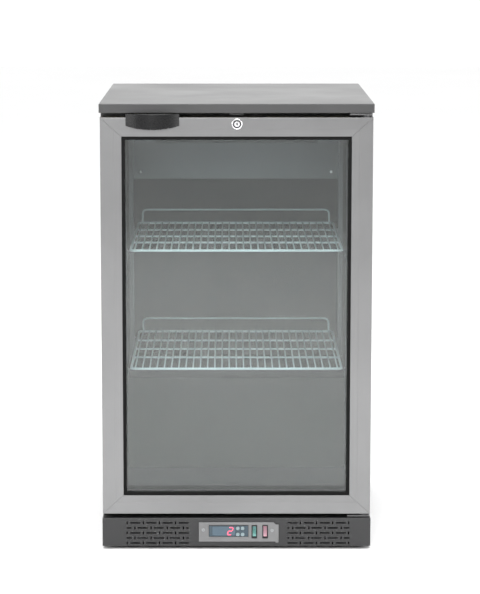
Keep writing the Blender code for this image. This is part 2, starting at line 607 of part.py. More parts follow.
def make_feet(looks):
    for word, (x, y) in FEET.items():
        piece(f"levelling_foot_{word}", looks["rubber"], cylinder((x, y, 0.0), (x, y, 0.0060), 0.0150, 20),
              add=[cylinder((x, y, 0.0050), (x, y, 0.0300), 0.0040, 16)], origin=(x, y, 0.0), smooth=True)


def main():
    clear_scene()
    looks = {
        "steel_top": material("brushed_top_steel", (0.50, 0.50, 0.51), 0.32, 1.0),
        "body_paint": material("grey_body_paint", (0.20, 0.20, 0.21), 0.45, 0.2),
        "panel_paint": material("dark_grey_panel", (0.06, 0.06, 0.065), 0.45, 0.3),
        "door_metal": material("satin_grey_door_metal", (0.21, 0.21, 0.22), 0.38, 0.8),
        "bezel_metal": material("zinc_plate", (0.35, 0.35, 0.36), 0.35, 1.0),
        "galvanised": material("galvanised_sheet", (0.45, 0.46, 0.47), 0.5, 1.0),
        "black_steel": material("black_enamelled_steel", (0.015, 0.015, 0.016), 0.4, 0.2),
        "foam": material("insulating_foam", (0.75, 0.68, 0.45), 0.9),
        "liner": material("dark_grey_liner", (0.05, 0.05, 0.055), 0.4),
        "steel_bright": material("bright_sheet", (0.4, 0.4, 0.41), 0.3, 1.0),
        "shelf_wire": material("pale_coated_wire", (0.72, 0.72, 0.72), 0.35),
        "glass": material("clear_glass", (0.75, 0.8, 0.8), 0.03, 0.0, 0.25),
        "rubber": material("black_rubber", (0.01, 0.01, 0.01), 0.8),
        "black_plastic": material("matt_black_plastic", (0.012, 0.012, 0.013), 0.55),
        "grey_plastic": material("pale_grey_plastic", (0.5, 0.52, 0.55), 0.4),
        "gloss_black": material("gloss_black_plastic", (0.008, 0.008, 0.009), 0.12),
        "display": material("display_lens", (0.09, 0.10, 0.13), 0.15),
        "rocker_green": material("green_rocker", (0.02, 0.42, 0.33), 0.3),
        "rocker_red": material("red_rocker", (0.75, 0.10, 0.12), 0.3),
        "chrome": material("chrome", (0.7, 0.7, 0.7), 0.08, 1.0),
        "aluminium": material("mill_aluminium", (0.6, 0.6, 0.61), 0.4, 1.0),
        "lamp": material("lamp_diffuser", (0.85, 0.87, 0.9), 0.4),
    }
    make_cabinet(looks)
    make_machine_panel(looks)
    make_hinges(looks)
    make_lock_catch(looks)
    make_door(looks, empty("door_axis", (HINGE_X, HINGE_Y, 0.0)))
    make_pilasters(looks)
    make_shelves(looks)
    make_cold_side(looks)
    make_machine(looks)
    make_feet(looks)


main()
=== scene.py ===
"""Looks of a glass-door undercounter refrigerator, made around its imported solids.

Each sub-assembly is a class that builds its own surfaces and dresses them. Metres, +Z up, +X to the right of
someone facing the door, +Y from the door to the back.
"""

import json
import logging
import math
from dataclasses import dataclass, field
from enum import Enum

import bmesh
import bpy
import numpy as np
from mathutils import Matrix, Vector


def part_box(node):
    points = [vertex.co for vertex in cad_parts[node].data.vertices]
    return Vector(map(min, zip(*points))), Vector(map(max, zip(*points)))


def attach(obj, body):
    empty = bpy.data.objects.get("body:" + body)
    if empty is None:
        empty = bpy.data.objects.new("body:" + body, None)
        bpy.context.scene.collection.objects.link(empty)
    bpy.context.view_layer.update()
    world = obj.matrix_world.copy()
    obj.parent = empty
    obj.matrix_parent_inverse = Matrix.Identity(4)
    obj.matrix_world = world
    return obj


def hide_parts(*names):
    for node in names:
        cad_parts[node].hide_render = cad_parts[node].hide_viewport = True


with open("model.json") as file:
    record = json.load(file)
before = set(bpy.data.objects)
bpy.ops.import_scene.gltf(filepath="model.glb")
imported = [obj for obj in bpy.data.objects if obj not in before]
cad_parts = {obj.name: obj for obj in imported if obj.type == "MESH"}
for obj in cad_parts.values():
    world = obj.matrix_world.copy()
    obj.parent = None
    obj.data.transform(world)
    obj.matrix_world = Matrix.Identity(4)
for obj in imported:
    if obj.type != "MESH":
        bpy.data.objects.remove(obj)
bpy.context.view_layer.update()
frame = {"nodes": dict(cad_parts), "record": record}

log = logging.getLogger("refrigerator")
Array = np.ndarray
Colour = tuple[float, float, float]


# ============================================================================ surfaces
class Facing(Enum):
    """The axis that a flat or a turned shape faces, with the two axes it spreads along."""

    X = (1, 2, 0)
    Y = (0, 2, 1)
    Z = (0, 1, 2)

    def place(self, across: Array, up: Array, out: Array) -> Array:
        """Puts three coordinate arrays into world order.

        Args:
            across: Coordinate along the first spread axis.
            up: Coordinate along the second spread axis.
            out: Coordinate along the axis that is faced.

        Returns:
            Points, with the three coordinates in the last dimension.
        """
        made = np.zeros((*np.broadcast(across, up, out).shape, 3))
        for axis, values in zip(self.value, (across, up, out)):
            made[..., axis] = values
        return made


@dataclass
class Surface:
    """Points and faces of one closed shape, or of several that lie apart."""

    points: Array
    faces: list[list[int]]

    def with_others(self, *others: "Surface") -> "Surface":
        """Returns one surface that holds this one and the others."""
        points, faces = [self.points], list(self.faces)
        count = len(self.points)
        for other in others:
            points.append(other.points)
            faces += [[i + count for i in face] for face in other.faces]
            count += len(other.points)
        return Surface(np.concatenate(points), faces)

    def repeated(self, shifts: Array) -> "Surface":
        """Copies this surface to every shift.

        Args:
            shifts: One row of three numbers for each copy.

        Returns:
            All the copies as one surface.
        """
        shifts = np.asarray(shifts, float)
        points = (self.points[None] + shifts[:, None]).reshape(-1, 3)
        faces = []
        for k in range(len(shifts)):
            faces += [[i + k * len(self.points) for i in face] for face in self.faces]
        return Surface(points, faces)


def grid_surface(grid: Array, around: bool = True, along: bool = False, ends: bool = True) -> Surface:
    """Joins a grid of points into quads, row to row and column to column.

    Args:
        grid: Points in rows and columns.
        around: Whether the last column joins the first.
        along: Whether the last row joins the first.
        ends: Whether the first and the last row are filled with a flat face.

    Returns:
        The surface, closed if around, and either along or ends.
    """
    rows, columns = grid.shape[:2]
    index = np.arange(rows * columns).reshape(rows, columns)
    if around:
        index = np.concatenate([index, index[:, :1]], axis=1)
    if along:
        index = np.concatenate([index, index[:1]], axis=0)
    quads = np.stack([index[:-1, :-1], index[:-1, 1:], index[1:, 1:], index[1:, :-1]], axis=-1).reshape(-1, 4)
    faces = quads.tolist()
    if ends and not along:
        faces.append(list(range(columns))[::-1])
        faces.append(list(range((rows - 1) * columns, rows * columns)))
    return Surface(grid.reshape(-1, 3), faces)


def rounded_loop(half_a: Array, half_b: Array, radius: Array, steps: int = 6) -> tuple[Array, Array]:
    """A rectangle with round corners, as a closed loop of points.

    Each corner is its centre, which lies half minus radius from the middle, plus radius times the cosine and
    the sine of an angle that runs through that corner's quarter turn.

    Args:
        half_a: Half the width, a number or a column of one for each loop.
        half_b: Half the height, likewise.
        radius: Corner radius, likewise.
        steps: Points on each corner.

    Returns:
        The two coordinates, with the loop along the last dimension.
    """
    angle = (np.arange(4)[:, None] * 90.0 + np.linspace(0.0, 90.0, steps)[None]) * math.pi / 180.0
    sign_a = np.array([1, -1, -1, 1])[:, None] * np.ones((1, steps))
    sign_b = np.array([1, 1, -1, -1])[:, None] * np.ones((1, steps))
    half_a, half_b, radius = (np.asarray(v, float)[..., None] for v in (half_a, half_b, radius))
    a = sign_a.ravel() * (half_a - radius) + radius * np.cos(angle).ravel()
    b = sign_b.ravel() * (half_b - radius) + radius * np.sin(angle).ravel()
    return a, b


def quarter(radius: float, steps: int = 5) -> tuple[Array, Array]:
    """A round edge: how far in from the side, and how far from the face, each point of a quarter circle lies.

    Both are the radius less the radius times the sine, or the cosine, of an angle from 0 to a quarter turn.

    Args:
        radius: Radius of the edge.
        steps: Points on the quarter circle.

    Returns:
        The inset, which falls to 0, and the distance from the face, which grows from 0.
    """
    angle = np.linspace(0.0, math.pi / 2, steps)
    return radius * (1 - np.sin(angle)), radius * (1 - np.cos(angle))


@dataclass(frozen=True)
class Plate:
    """A flat slab with round corners and round edges, which faces one axis."""

    low: tuple[float, float, float]
    high: tuple[float, float, float]
    facing: Facing
    corner: float = 0.002
    edge: float = 0.0005
    steps: int = 5

    def surface(self) -> Surface:
        """Stacks rounded rectangles along the faced axis, drawn in at both faces by a quarter circle.

        Returns:
            The closed slab.
        """
        low, high = (np.array([v[a] for a in self.facing.value]) for v in (self.low, self.high))
        middle, half = (low + high) / 2, (high - low) / 2
        edge = min(self.edge, half[2] * 0.95)
        inset, rise = quarter(edge, 4)
        out = np.concatenate([low[2] + rise, high[2] - rise[::-1]])
        return stacked_loops(tuple(middle[:2]), tuple(half[:2]), self.corner,
                             np.concatenate([inset, inset[::-1]]),
                             out, self.facing, self.steps)


def stacked_loops(middle: tuple[float, float], half: tuple[float, float], corner: float, inset: Array,
                  out: Array, facing: Facing, steps: int = 6, closed: bool = False) -> Surface:
    """A rounded rectangle carried along a profile of (inset, out).

    Args:
        middle: Centre of the rectangle.
        half: Half sizes of the rectangle where the inset is 0.
        corner: Corner radius where the inset is 0.
        inset: How far each loop is drawn in.
        out: Where each loop lies along the faced axis.
        facing: The faced axis.
        steps: Points on each corner.
        closed: Whether the profile is a closed outline, as of a seal, and not a stack with two flat ends.

    Returns:
        The closed surface.
    """
    radius = np.maximum(corner - inset, 2e-4)
    a, b = rounded_loop(half[0] - inset, half[1] - inset, radius, steps)
    grid = facing.place(a + middle[0], b + middle[1], np.asarray(out)[:, None])
    return grid_surface(grid, along=closed, ends=not closed)


def turned(profile: Array, centre: tuple[float, float, float], facing: Facing, sides: int = 32) -> Surface:
    """A profile of (radius, out) turned about the faced axis through centre.

    Args:
        profile: Radius and distance along the axis, one row for each point.
        centre: A point on the axis.
        facing: The axis of the turn.
        sides: Points in a full turn.

    Returns:
        The surface, with flat ends.
    """
    profile = np.asarray(profile, float)
    angle = np.arange(sides) * 2 * math.pi / sides
    middle = [centre[a] for a in facing.value]
    across = middle[0] + profile[:, :1] * np.cos(angle)
    up = middle[1] + profile[:, :1] * np.sin(angle)
    return grid_surface(facing.place(across, up, middle[2] + profile[:, 1:]))


def turned_ring(profile: Array, centre: tuple[float, float, float], facing: Facing,
                sides: int = 32) -> Surface:
    """A closed outline of (radius, out) turned about the faced axis, with a hole left through the middle."""
    profile = np.asarray(profile, float)
    angle = np.arange(sides) * 2 * math.pi / sides
    middle = [centre[a] for a in facing.value]
    across = middle[0] + profile[:, :1] * np.cos(angle)
    up = middle[1] + profile[:, :1] * np.sin(angle)
    return grid_surface(facing.place(across, up, middle[2] + profile[:, 1:]), along=True)


def tube(path: Array, radius: float, sides: int = 8, ring: bool = False) -> Surface:
    """A round rod along a path: at each point a circle in the plane across the path's direction.

    Args:
        path: Points in order.
        radius: Radius of the rod.
        sides: Points on each circle.
        ring: Whether the path closes on itself.

    Returns:
        The closed rod.
    """
    path = np.asarray(path, float)
    if ring:
        ahead = np.roll(path, -1, axis=0) - np.roll(path, 1, axis=0)
    else:
        ahead = np.gradient(path, axis=0)
    ahead /= np.linalg.norm(ahead, axis=1, keepdims=True)
    spread = np.abs(np.linalg.svd(path - path.mean(0), full_matrices=True)[2][-1])
    steady = np.argmax(spread) if len(path) > 2 else np.argmin(np.abs(ahead[0]))
    fixed = np.eye(3)[int(steady)]
    side = np.cross(ahead, fixed)
    side /= np.linalg.norm(side, axis=1, keepdims=True)
    over = np.cross(side, ahead)
    angle = np.arange(sides) * 2 * math.pi / sides
    rim = side[:, None] * np.cos(angle)[None, :, None] + over[:, None] * np.sin(angle)[None, :, None]
    return grid_surface(path[:, None] + radius * rim, along=ring, ends=not ring)


def bent_path(corners: Array, bend: float, steps: int = 6) -> Array:
    """Straight runs joined by smooth bends.

    Each inner corner is replaced by a quadratic curve that starts and ends one bend length away from it.

    Args:
        corners: The corner points in order.
        bend: Length of run that each bend takes up.
        steps: Points on each bend.

    Returns:
        The points of the path.
    """
    corners = np.asarray(corners, float)
    t = np.linspace(0.0, 1.0, steps)[:, None]
    pieces = [corners[:1]]
    for before, here, after in zip(corners[:-2], corners[1:-1], corners[2:]):
        start = here + (before - here) * min(bend / np.linalg.norm(before - here), 0.5)
        end = here + (after - here) * min(bend / np.linalg.norm(after - here), 0.5)
        pieces.append((1 - t) ** 2 * start + 2 * t * (1 - t) * here + t ** 2 * end)
    return np.concatenate([*pieces, corners[-1:]])


def extruded(outline: Array, facing: Facing, low: float, high: float) -> Surface:
    """A closed outline in the plane across the faced axis, carried from low to high."""
    outline = np.asarray(outline, float)
    grid = facing.place(outline[None, :, 0], outline[None, :, 1], np.array([[low], [high]]))
    return grid_surface(grid)


def rounded(corners: Array, radius: float, steps: int = 5) -> Array:
    """A closed outline whose corners are smooth quadratic curves.

    Each corner's curve starts and ends one radius away from it, or at the middle of a side that is too short.

    Args:
        corners: The sharp corners in order.
        radius: Length that each curve takes from a side.
        steps: Points on each curve.

    Returns:
        The points of the outline.
    """
    here = np.asarray(corners, float)
    ends = []
    for other in (np.roll(here, 1, 0), np.roll(here, -1, 0)):
        away = other - here
        length = np.linalg.norm(away, axis=1, keepdims=True)
        ends.append(here + away / length * np.minimum(radius, length * 0.499))
    t = np.linspace(0.0, 1.0, steps)[None, :, None]
    start, middle, end = ends[0][:, None], here[:, None], ends[1][:, None]
    return ((1 - t) ** 2 * start + 2 * t * (1 - t) * middle + t ** 2 * end).reshape(-1, 2)


def carried(outline: Array, inset: Array, out: Array, facing: Facing) -> Surface:
    """A closed outline carried along the faced axis, and drawn in by its own amount at each step.

    A corner is drawn in by the sum of its two sides' inward normals over one plus their product.

    Args:
        outline: The closed outline.
        inset: How far each loop is drawn in.
        out: Where each loop lies along the faced axis.
        facing: The faced axis.

    Returns:
        The closed surface.
    """
    outline = np.asarray(outline, float)
    ahead = np.roll(outline, -1, 0) - outline
    turn = np.sign((outline[:, 0] * ahead[:, 1] - outline[:, 1] * ahead[:, 0]).sum())
    ahead /= np.linalg.norm(ahead, axis=1, keepdims=True)
    normal = np.stack([-ahead[:, 1], ahead[:, 0]], axis=1) * turn
    before = np.roll(normal, 1, 0)
    shift = (normal + before) / (1 + (normal * before).sum(1, keepdims=True))
    loops = outline + np.asarray(inset, float)[:, None, None] * shift
    return grid_surface(facing.place(loops[..., 0], loops[..., 1], np.asarray(out, float)[:, None]))


def edged(outline: Array, low: float, high: float, edge: float, facing: Facing) -> Surface:
    """A slab of any outline from low to high, with small round edges on both faces."""
    inset, rise = quarter(edge, 3)
    return carried(outline, np.concatenate([inset, inset[::-1]]),
                   np.concatenate([low + rise, high - rise[::-1]]), facing)


# ============================================================================ finishes
class Grain(Enum):
    """How a pattern is drawn out: the pattern's frequency along X, Y and Z, against its basic one."""

    EVEN = (1.0, 1.0, 1.0)
    ALONG_X = (0.012, 1.0, 1.0)
    ALONG_Z = (1.0, 1.0, 0.012)
    AROUND = (1.0, 0.05, 1.0)


class Recipe:
    """A Principled material that is put together from nodes on Object coordinates."""

    def __init__(self, name: str) -> None:
        """Starts an empty material of that name."""
        self.material = bpy.data.materials.new(name)
        self.material.use_nodes = True
        self.tree = self.material.node_tree
        self.shader = self.tree.nodes["Principled BSDF"]
        self.output = self.tree.nodes["Material Output"]
        self.place = self.tree.nodes.new("ShaderNodeTexCoord").outputs["Object"]

    def node(self, kind: str, **settings: object) -> bpy.types.Node:
        """Adds a node and sets its properties."""
        made = self.tree.nodes.new(kind)
        for key, value in settings.items():
            setattr(made, key, value)
        return made

    def link(self, source: bpy.types.NodeSocket, target: bpy.types.NodeSocket) -> None:
        """Joins an output to an input."""
        self.tree.links.new(source, target)

    def noise(self, scale: float, detail: float = 3.0, grain: Grain = Grain.EVEN,
              rough: float = 0.55) -> bpy.types.NodeSocket:
        """Adds cloudy noise.

        Args:
            scale: Features for each metre.
            detail: Octaves.
            grain: How the noise is drawn out.
            rough: How strong the finer octaves are.

        Returns:
            The noise, from 0 to 1.
        """
        mapping = self.node("ShaderNodeMapping")
        mapping.inputs["Scale"].default_value = grain.value
        self.link(self.place, mapping.inputs["Vector"])
        made = self.node("ShaderNodeTexNoise")
        made.inputs["Scale"].default_value = scale
        made.inputs["Detail"].default_value = detail
        made.inputs["Roughness"].default_value = rough
        self.link(mapping.outputs["Vector"], made.inputs["Vector"])
        return made.outputs["Fac"]

    def span(self, value: bpy.types.NodeSocket, low: float, high: float, start: float = 0.3,
             end: float = 0.7) -> bpy.types.NodeSocket:
        """Stretches start to end of a value over low to high, clamped."""
        made = self.node("ShaderNodeMapRange")
        self.link(value, made.inputs["Value"])
        for key, number in (("From Min", start), ("From Max", end), ("To Min", low), ("To Max", high)):
            made.inputs[key].default_value = number
        return made.outputs["Result"]

    def added(self, first: bpy.types.NodeSocket, second: bpy.types.NodeSocket) -> bpy.types.NodeSocket:
        """Adds two values."""
        made = self.node("ShaderNodeMath", operation="ADD")
        self.link(first, made.inputs[0])
        self.link(second, made.inputs[1])
        return made.outputs[0]

    def blend(self, share: bpy.types.NodeSocket, first: Colour, second: Colour) -> bpy.types.NodeSocket:
        """Mixes two colours by a share from 0 to 1."""
        made = self.node("ShaderNodeMix", data_type="RGBA")
        self.link(share, made.inputs[0])
        made.inputs[6].default_value = (*first, 1.0)
        made.inputs[7].default_value = (*second, 1.0)
        return made.outputs[2]

    def bump(self, height: bpy.types.NodeSocket, strength: float, distance: float) -> None:
        """Raises the surface by a height."""
        made = self.node("ShaderNodeBump")
        made.inputs["Strength"].default_value = strength
        made.inputs["Distance"].default_value = distance
        self.link(height, made.inputs["Height"])
        self.link(made.outputs["Normal"], self.shader.inputs["Normal"])

    def set(self, **values: float) -> None:
        """Sets the shader's own sockets, whose names have _ for a space."""
        for key, value in values.items():
            self.shader.inputs[key.replace("_", " ")].default_value = value

    def feed(self, name: str, source: bpy.types.NodeSocket) -> None:
        """Drives one of the shader's sockets."""
        self.link(source, self.shader.inputs[name])


def tones(colour: Colour, spread: float) -> tuple[Colour, Colour]:
    """A darker and a lighter tone of a colour, spread apart by a share of it."""
    return tuple(c * (1 - spread) for c in colour), tuple(min(c * (1 + spread), 1.0) for c in colour)


@dataclass(frozen=True)
class BrushedMetal:
    """Sheet metal with a fine grain one way, faint wiping marks and small changes of tone."""

    name: str
    colour: Colour
    roughness: float = 0.30
    grain: Grain = Grain.ALONG_X
    scratch: float = 0.06
    metallic: float = 1.0
    lines: float = 1600.0
    gloss_spread: float = 0.07

    def material(self) -> bpy.types.Material:
        """Builds the material: grain noise drives bump and gloss, broad noise drives tone and wiping."""
        r = Recipe(self.name)
        grain = r.noise(self.lines, 4.0, self.grain)
        broad = r.noise(7.0, 3.0)
        spread = self.gloss_spread
        smear = r.span(r.noise(34.0, 5.0, rough=0.65), 0.0, spread * 1.3, 0.45, 0.75)
        r.set(Metallic=self.metallic)
        r.feed("Base Color", r.blend(r.span(broad, 0.0, 1.0), *tones(self.colour, 0.05)))
        r.feed("Roughness", r.added(r.span(grain, self.roughness - spread, self.roughness + spread), smear))
        r.bump(grain, self.scratch, 0.0002)
        return r.material


@dataclass(frozen=True)
class Paint:
    """Sprayed paint with a faint orange peel, fine dust and small changes of gloss."""

    name: str
    colour: Colour
    roughness: float = 0.42
    peel: float = 0.05
    metallic: float = 0.0
    coat: float = 0.0

    def material(self) -> bpy.types.Material:
        """Builds the material: fine noise is the orange peel, broad noise moves tone and gloss."""
        r = Recipe(self.name)
        broad = r.noise(5.0, 4.0)
        dust = r.noise(420.0, 2.0, rough=0.8)
        r.set(Metallic=self.metallic, Coat_Weight=self.coat)
        r.feed("Base Color", r.blend(r.span(r.added(broad, r.span(dust, 0.0, 0.35, 0.62, 0.8)), 0.0, 1.0),
                                     *tones(self.colour, 0.06)))
        r.feed("Roughness", r.span(broad, self.roughness - 0.04, self.roughness + 0.05))
        r.bump(r.noise(900.0, 2.0), self.peel, 0.0003)
        return r.material


class Skin(Enum):
    """The surface a mould gives to plastic: grains for each metre, and how strong they are."""

    GLOSS = (300.0, 0.015)
    SATIN = (1400.0, 0.08)
    MATT = (2200.0, 0.22)


@dataclass(frozen=True)
class Plastic:
    """Moulded plastic or rubber, whose skin is one of the mould's."""

    name: str
    colour: Colour
    roughness: float
    skin: Skin = Skin.SATIN
    glow: float = 0.0
    through: float = 0.0
    shine: float = 0.5

    def material(self) -> bpy.types.Material:
        """Builds the material: the skin's grain is bump, and broad noise is handling marks."""
        r = Recipe(self.name)
        scale, strength = self.skin.value
        grain = r.noise(scale, 3.0)
        marks = r.noise(24.0, 5.0, rough=0.6)
        r.feed("Base Color", r.blend(r.span(marks, 0.0, 1.0), *tones(self.colour, 0.09)))
        r.feed("Roughness", r.added(r.span(grain, self.roughness - 0.03, self.roughness + 0.03),
                                    r.span(marks, 0.0, 0.08, 0.5, 0.8)))
        r.bump(grain, strength, 0.0002)
        r.set(Specular_IOR_Level=self.shine)
        if self.through:
            r.set(Subsurface_Weight=self.through, Subsurface_Scale=0.002)
        if self.glow:
            r.shader.inputs["Emission Color"].default_value = (*self.colour, 1.0)
            r.set(Emission_Strength=self.glow)
        return r.material


@dataclass(frozen=True)
class ClearGlass:
    """A pane that lets lamps light what is behind it, with a trace of green in its body."""

    name: str
    tint: Colour = (0.93, 0.96, 0.95)
    bends: float = 1.45

    def material(self) -> bpy.types.Material:
        """Builds the material: smooth clear glass, and plain clear for rays from the lamps."""
        r = Recipe(self.name)
        film = r.noise(3.0, 4.0)
        r.set(Roughness=0.0, IOR=self.bends, Transmission_Weight=1.0)
        r.feed("Base Color", r.blend(r.span(film, 0.0, 1.0), *tones(self.tint, 0.012)))
        mix = r.node("ShaderNodeMixShader")
        clear = r.node("ShaderNodeBsdfTransparent")
        clear.inputs["Color"].default_value = (*self.tint, 1.0)
        rays = r.node("ShaderNodeLightPath")
        r.link(rays.outputs["Is Shadow Ray"], mix.inputs[0])
        r.link(r.shader.outputs["BSDF"], mix.inputs[1])
        r.link(clear.outputs["BSDF"], mix.inputs[2])
        r.link(mix.outputs["Shader"], r.output.inputs["Surface"])
        return r.material


@dataclass(frozen=True)
class Foam:
    """Rigid foam with a cellular skin."""

    name: str
    colour: Colour

    def material(self) -> bpy.types.Material:
        """Builds the material: a cell pattern for the bubbles over cloudy tone."""
        r = Recipe(self.name)
        cells = r.node("ShaderNodeTexVoronoi")
        cells.inputs["Scale"].default_value = 700.0
        r.link(r.place, cells.inputs["Vector"])
        r.feed("Base Color", r.blend(r.span(r.noise(12.0), 0.0, 1.0), *tones(self.colour, 0.12)))
        r.set(Roughness=0.85)
        r.bump(cells.outputs["Distance"], 0.4, 0.0006)
        return r.material


Finish = BrushedMetal | Paint | Plastic | ClearGlass | Foam


@dataclass
class Palette:
    """Every finish of the refrigerator, by the record's material slot."""

    finishes: dict[str, Finish] = field(default_factory=lambda: {
        "brushed_top_steel": Paint("worktop_coating", (0.052, 0.052, 0.053), 0.32, 0.03),
        "grey_body_paint": Paint("body_paint", (0.050, 0.050, 0.051), 0.42),
        "dark_grey_panel": Paint("panel_paint", (0.027, 0.027, 0.028), 0.42, 0.05),
        "satin_grey_door_metal": BrushedMetal("door_metal", (0.255, 0.255, 0.257), 0.32, Grain.ALONG_Z, 0.008,
                                              0.95, 1600.0, 0.012),
        "door_rail_metal": BrushedMetal("door_rail_metal", (0.255, 0.255, 0.257), 0.32, Grain.ALONG_X, 0.008, 0.95,
                                        1600.0, 0.012),
        "zinc_plate": BrushedMetal("zinc_plate", (0.225, 0.225, 0.228), 0.42, Grain.ALONG_X, 0.05, 0.6),
        "galvanised_sheet": BrushedMetal("galvanised", (0.40, 0.41, 0.42), 0.5, Grain.EVEN, 0.12, 1.0, 260.0),
        "black_enamel_steel": Paint("black_enamel", (0.014, 0.014, 0.015), 0.35, 0.08),
        "insulating_foam": Foam("foam", (0.75, 0.68, 0.45)),
        "dark_liner": Plastic("liner", (0.0050, 0.0050, 0.0055), 0.62, Skin.SATIN, shine=0.22),
        "bright_sheet": BrushedMetal("inside_steel", (0.10, 0.105, 0.115), 0.40, Grain.ALONG_Z, 0.05, 0.9),
        "coated_wire": Plastic("coated_wire", (0.37, 0.44, 0.48), 0.30, Skin.GLOSS),
        "clear_glass": ClearGlass("pane"),
        "black_rubber": Plastic("rubber", (0.006, 0.006, 0.006), 0.80, Skin.MATT, shine=0.15),
        "matt_black_plastic": Plastic("matt_black", (0.014, 0.014, 0.015), 0.55, Skin.MATT),
        "pale_grey_plastic": Plastic("pale_key", (0.24, 0.31, 0.33), 0.38, Skin.SATIN),
        "gloss_black_plastic": Plastic("gloss_black", (0.004, 0.004, 0.0045), 0.27, Skin.GLOSS, shine=0.40),
        "display_lens": Plastic("display_lens", (0.075, 0.115, 0.150), 0.16, Skin.GLOSS),
        "display_film": Plastic("display_film", (0.045, 0.070, 0.090), 0.20, Skin.GLOSS),
        "green_rocker_plastic": Plastic("green_rocker", (0.095, 0.270, 0.250), 0.34, Skin.GLOSS, 0.10, 0.3),
        "red_rocker_plastic": Plastic("red_rocker", (0.44, 0.24, 0.29), 0.34, Skin.GLOSS, 0.15, 0.3),
        "bright_chrome": BrushedMetal("chrome", (0.86, 0.86, 0.87), 0.20, Grain.AROUND, 0.01, 0.75),
        "mill_aluminium": BrushedMetal("mill_aluminium", (0.62, 0.62, 0.64), 0.38, Grain.ALONG_Z, 0.08),
        "lamp_diffuser": Plastic("diffuser", (0.80, 0.92, 1.0), 0.35, Skin.SATIN, 3.5),
        "copper": BrushedMetal("copper", (0.72, 0.36, 0.22), 0.32, Grain.EVEN, 0.05, 1.0, 300.0),
        "lit_digit": Plastic("lit_digit", (1.0, 0.10, 0.18), 0.3, Skin.GLOSS, 0.8),
    })
    made: dict[str, bpy.types.Material] = field(default_factory=dict)

    def get(self, slot: str) -> bpy.types.Material:
        """Returns the material of a slot, built the first time it is asked for."""
        if slot not in self.made:
            self.made[slot] = self.finishes[slot].material()
        return self.made[slot]

    def dress_solids(self) -> None:
        """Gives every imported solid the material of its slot."""
        for entry in frame["record"]["subparts"]:
            node = frame["nodes"][entry["node"]]
            node.data.materials.clear()
            node.data.materials.append(self.get(entry["material_slot"]))
            log.info("dressed %s", entry["node"])


# ============================================================================ making pieces
def put_mesh(name: str, surface: Surface, crease: float) -> bpy.types.Object:
    """Turns a surface into an object whose faces point outwards.

    Args:
        name: The object's name.
        surface: Its points and faces.
        crease: Edges that turn by more than this many degrees stay sharp.

    Returns:
        The object, linked to the scene.
    """
    mesh = bpy.data.meshes.new(name)
    mesh.from_pydata(surface.points, [], surface.faces)
    bm = bmesh.new()
    bm.from_mesh(mesh)
    bmesh.ops.remove_doubles(bm, verts=bm.verts, dist=1e-6)
    bmesh.ops.recalc_face_normals(bm, faces=bm.faces)
    if bm.calc_volume(signed=True) < 0:
        bmesh.ops.reverse_faces(bm, faces=bm.faces)
    bm.to_mesh(mesh)
    bm.free()
    made = bpy.data.objects.new(name, mesh)
    bpy.context.scene.collection.objects.link(made)
    shade(made, crease)
    return made


def shade(made: bpy.types.Object, crease: float) -> None:
    """Shades an object smooth up to a crease angle, with the wide faces kept flat beside their narrow edges.

    Args:
        made: The object.
        crease: Edges that turn by more than this many degrees stay sharp.
    """
    made.data.shade_smooth()
    made.data.set_sharp_from_angle(angle=math.radians(crease))
    change = made.modifiers.new("flat", "WEIGHTED_NORMAL")
    change.mode = "FACE_AREA"
    change.keep_sharp = True
    settle(made)


def settle(made: bpy.types.Object) -> None:
    """Makes an object's modifiers part of its mesh."""
    graph = bpy.context.evaluated_depsgraph_get()
    result = bpy.data.meshes.new_from_object(made.evaluated_get(graph))
    made.modifiers.clear()
    made.data = result


def cut_away(made: bpy.types.Object, tools: tuple[Surface, ...], crease: float) -> None:
    """Cuts shapes out of an object for good, and shades it again.

    Args:
        made: The object to cut.
        tools: Closed shapes, each cut in turn.
        crease: Edges that turn by more than this many degrees stay sharp.
    """
    for tool in tools:
        cutter = put_mesh("cutter", tool, 30.0)
        change = made.modifiers.new("cut", "BOOLEAN")
        change.operation = "DIFFERENCE"
        change.solver = "EXACT"
        change.object = cutter
        settle(made)
        bpy.data.objects.remove(cutter)
    shade(made, crease)


@dataclass
class Workshop:
    """Makes pieces, hangs each on the body it rides on, and hides the imported solids it is shown in place of."""

    palette: Palette

    def make(self, name: str, surface: Surface, slot: str, body: str, stands_for: tuple[str, ...] = (),
             cuts: tuple[Surface, ...] = (), crease: float = 32.0, finish: str = "") -> bpy.types.Object:
        """Makes one finished piece.

        Args:
            name: The piece's name.
            surface: Its shape.
            slot: The palette's slot for its finish.
            body: The body it rides on.
            stands_for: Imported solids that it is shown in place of.
            cuts: Shapes cut out of it.
            crease: Edges that turn by more than this many degrees stay sharp.
            finish: The palette's name for its finish, where that isn't the slot's own.

        Returns:
            The piece.
        """
        made = put_mesh(name, surface, crease)
        if cuts:
            cut_away(made, cuts, crease)
        made.data.materials.clear()
        made.data.materials.append(self.palette.get(finish or slot))
        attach(made, body)
        if stands_for:
            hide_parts(*stands_for)
        log.info("made %s with %d points", name, len(made.data.vertices))
        return made


def corners_of(node: str) -> tuple[Array, Array]:
    """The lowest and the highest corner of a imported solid."""
    low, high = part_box(node)
    return np.array(low), np.array(high)


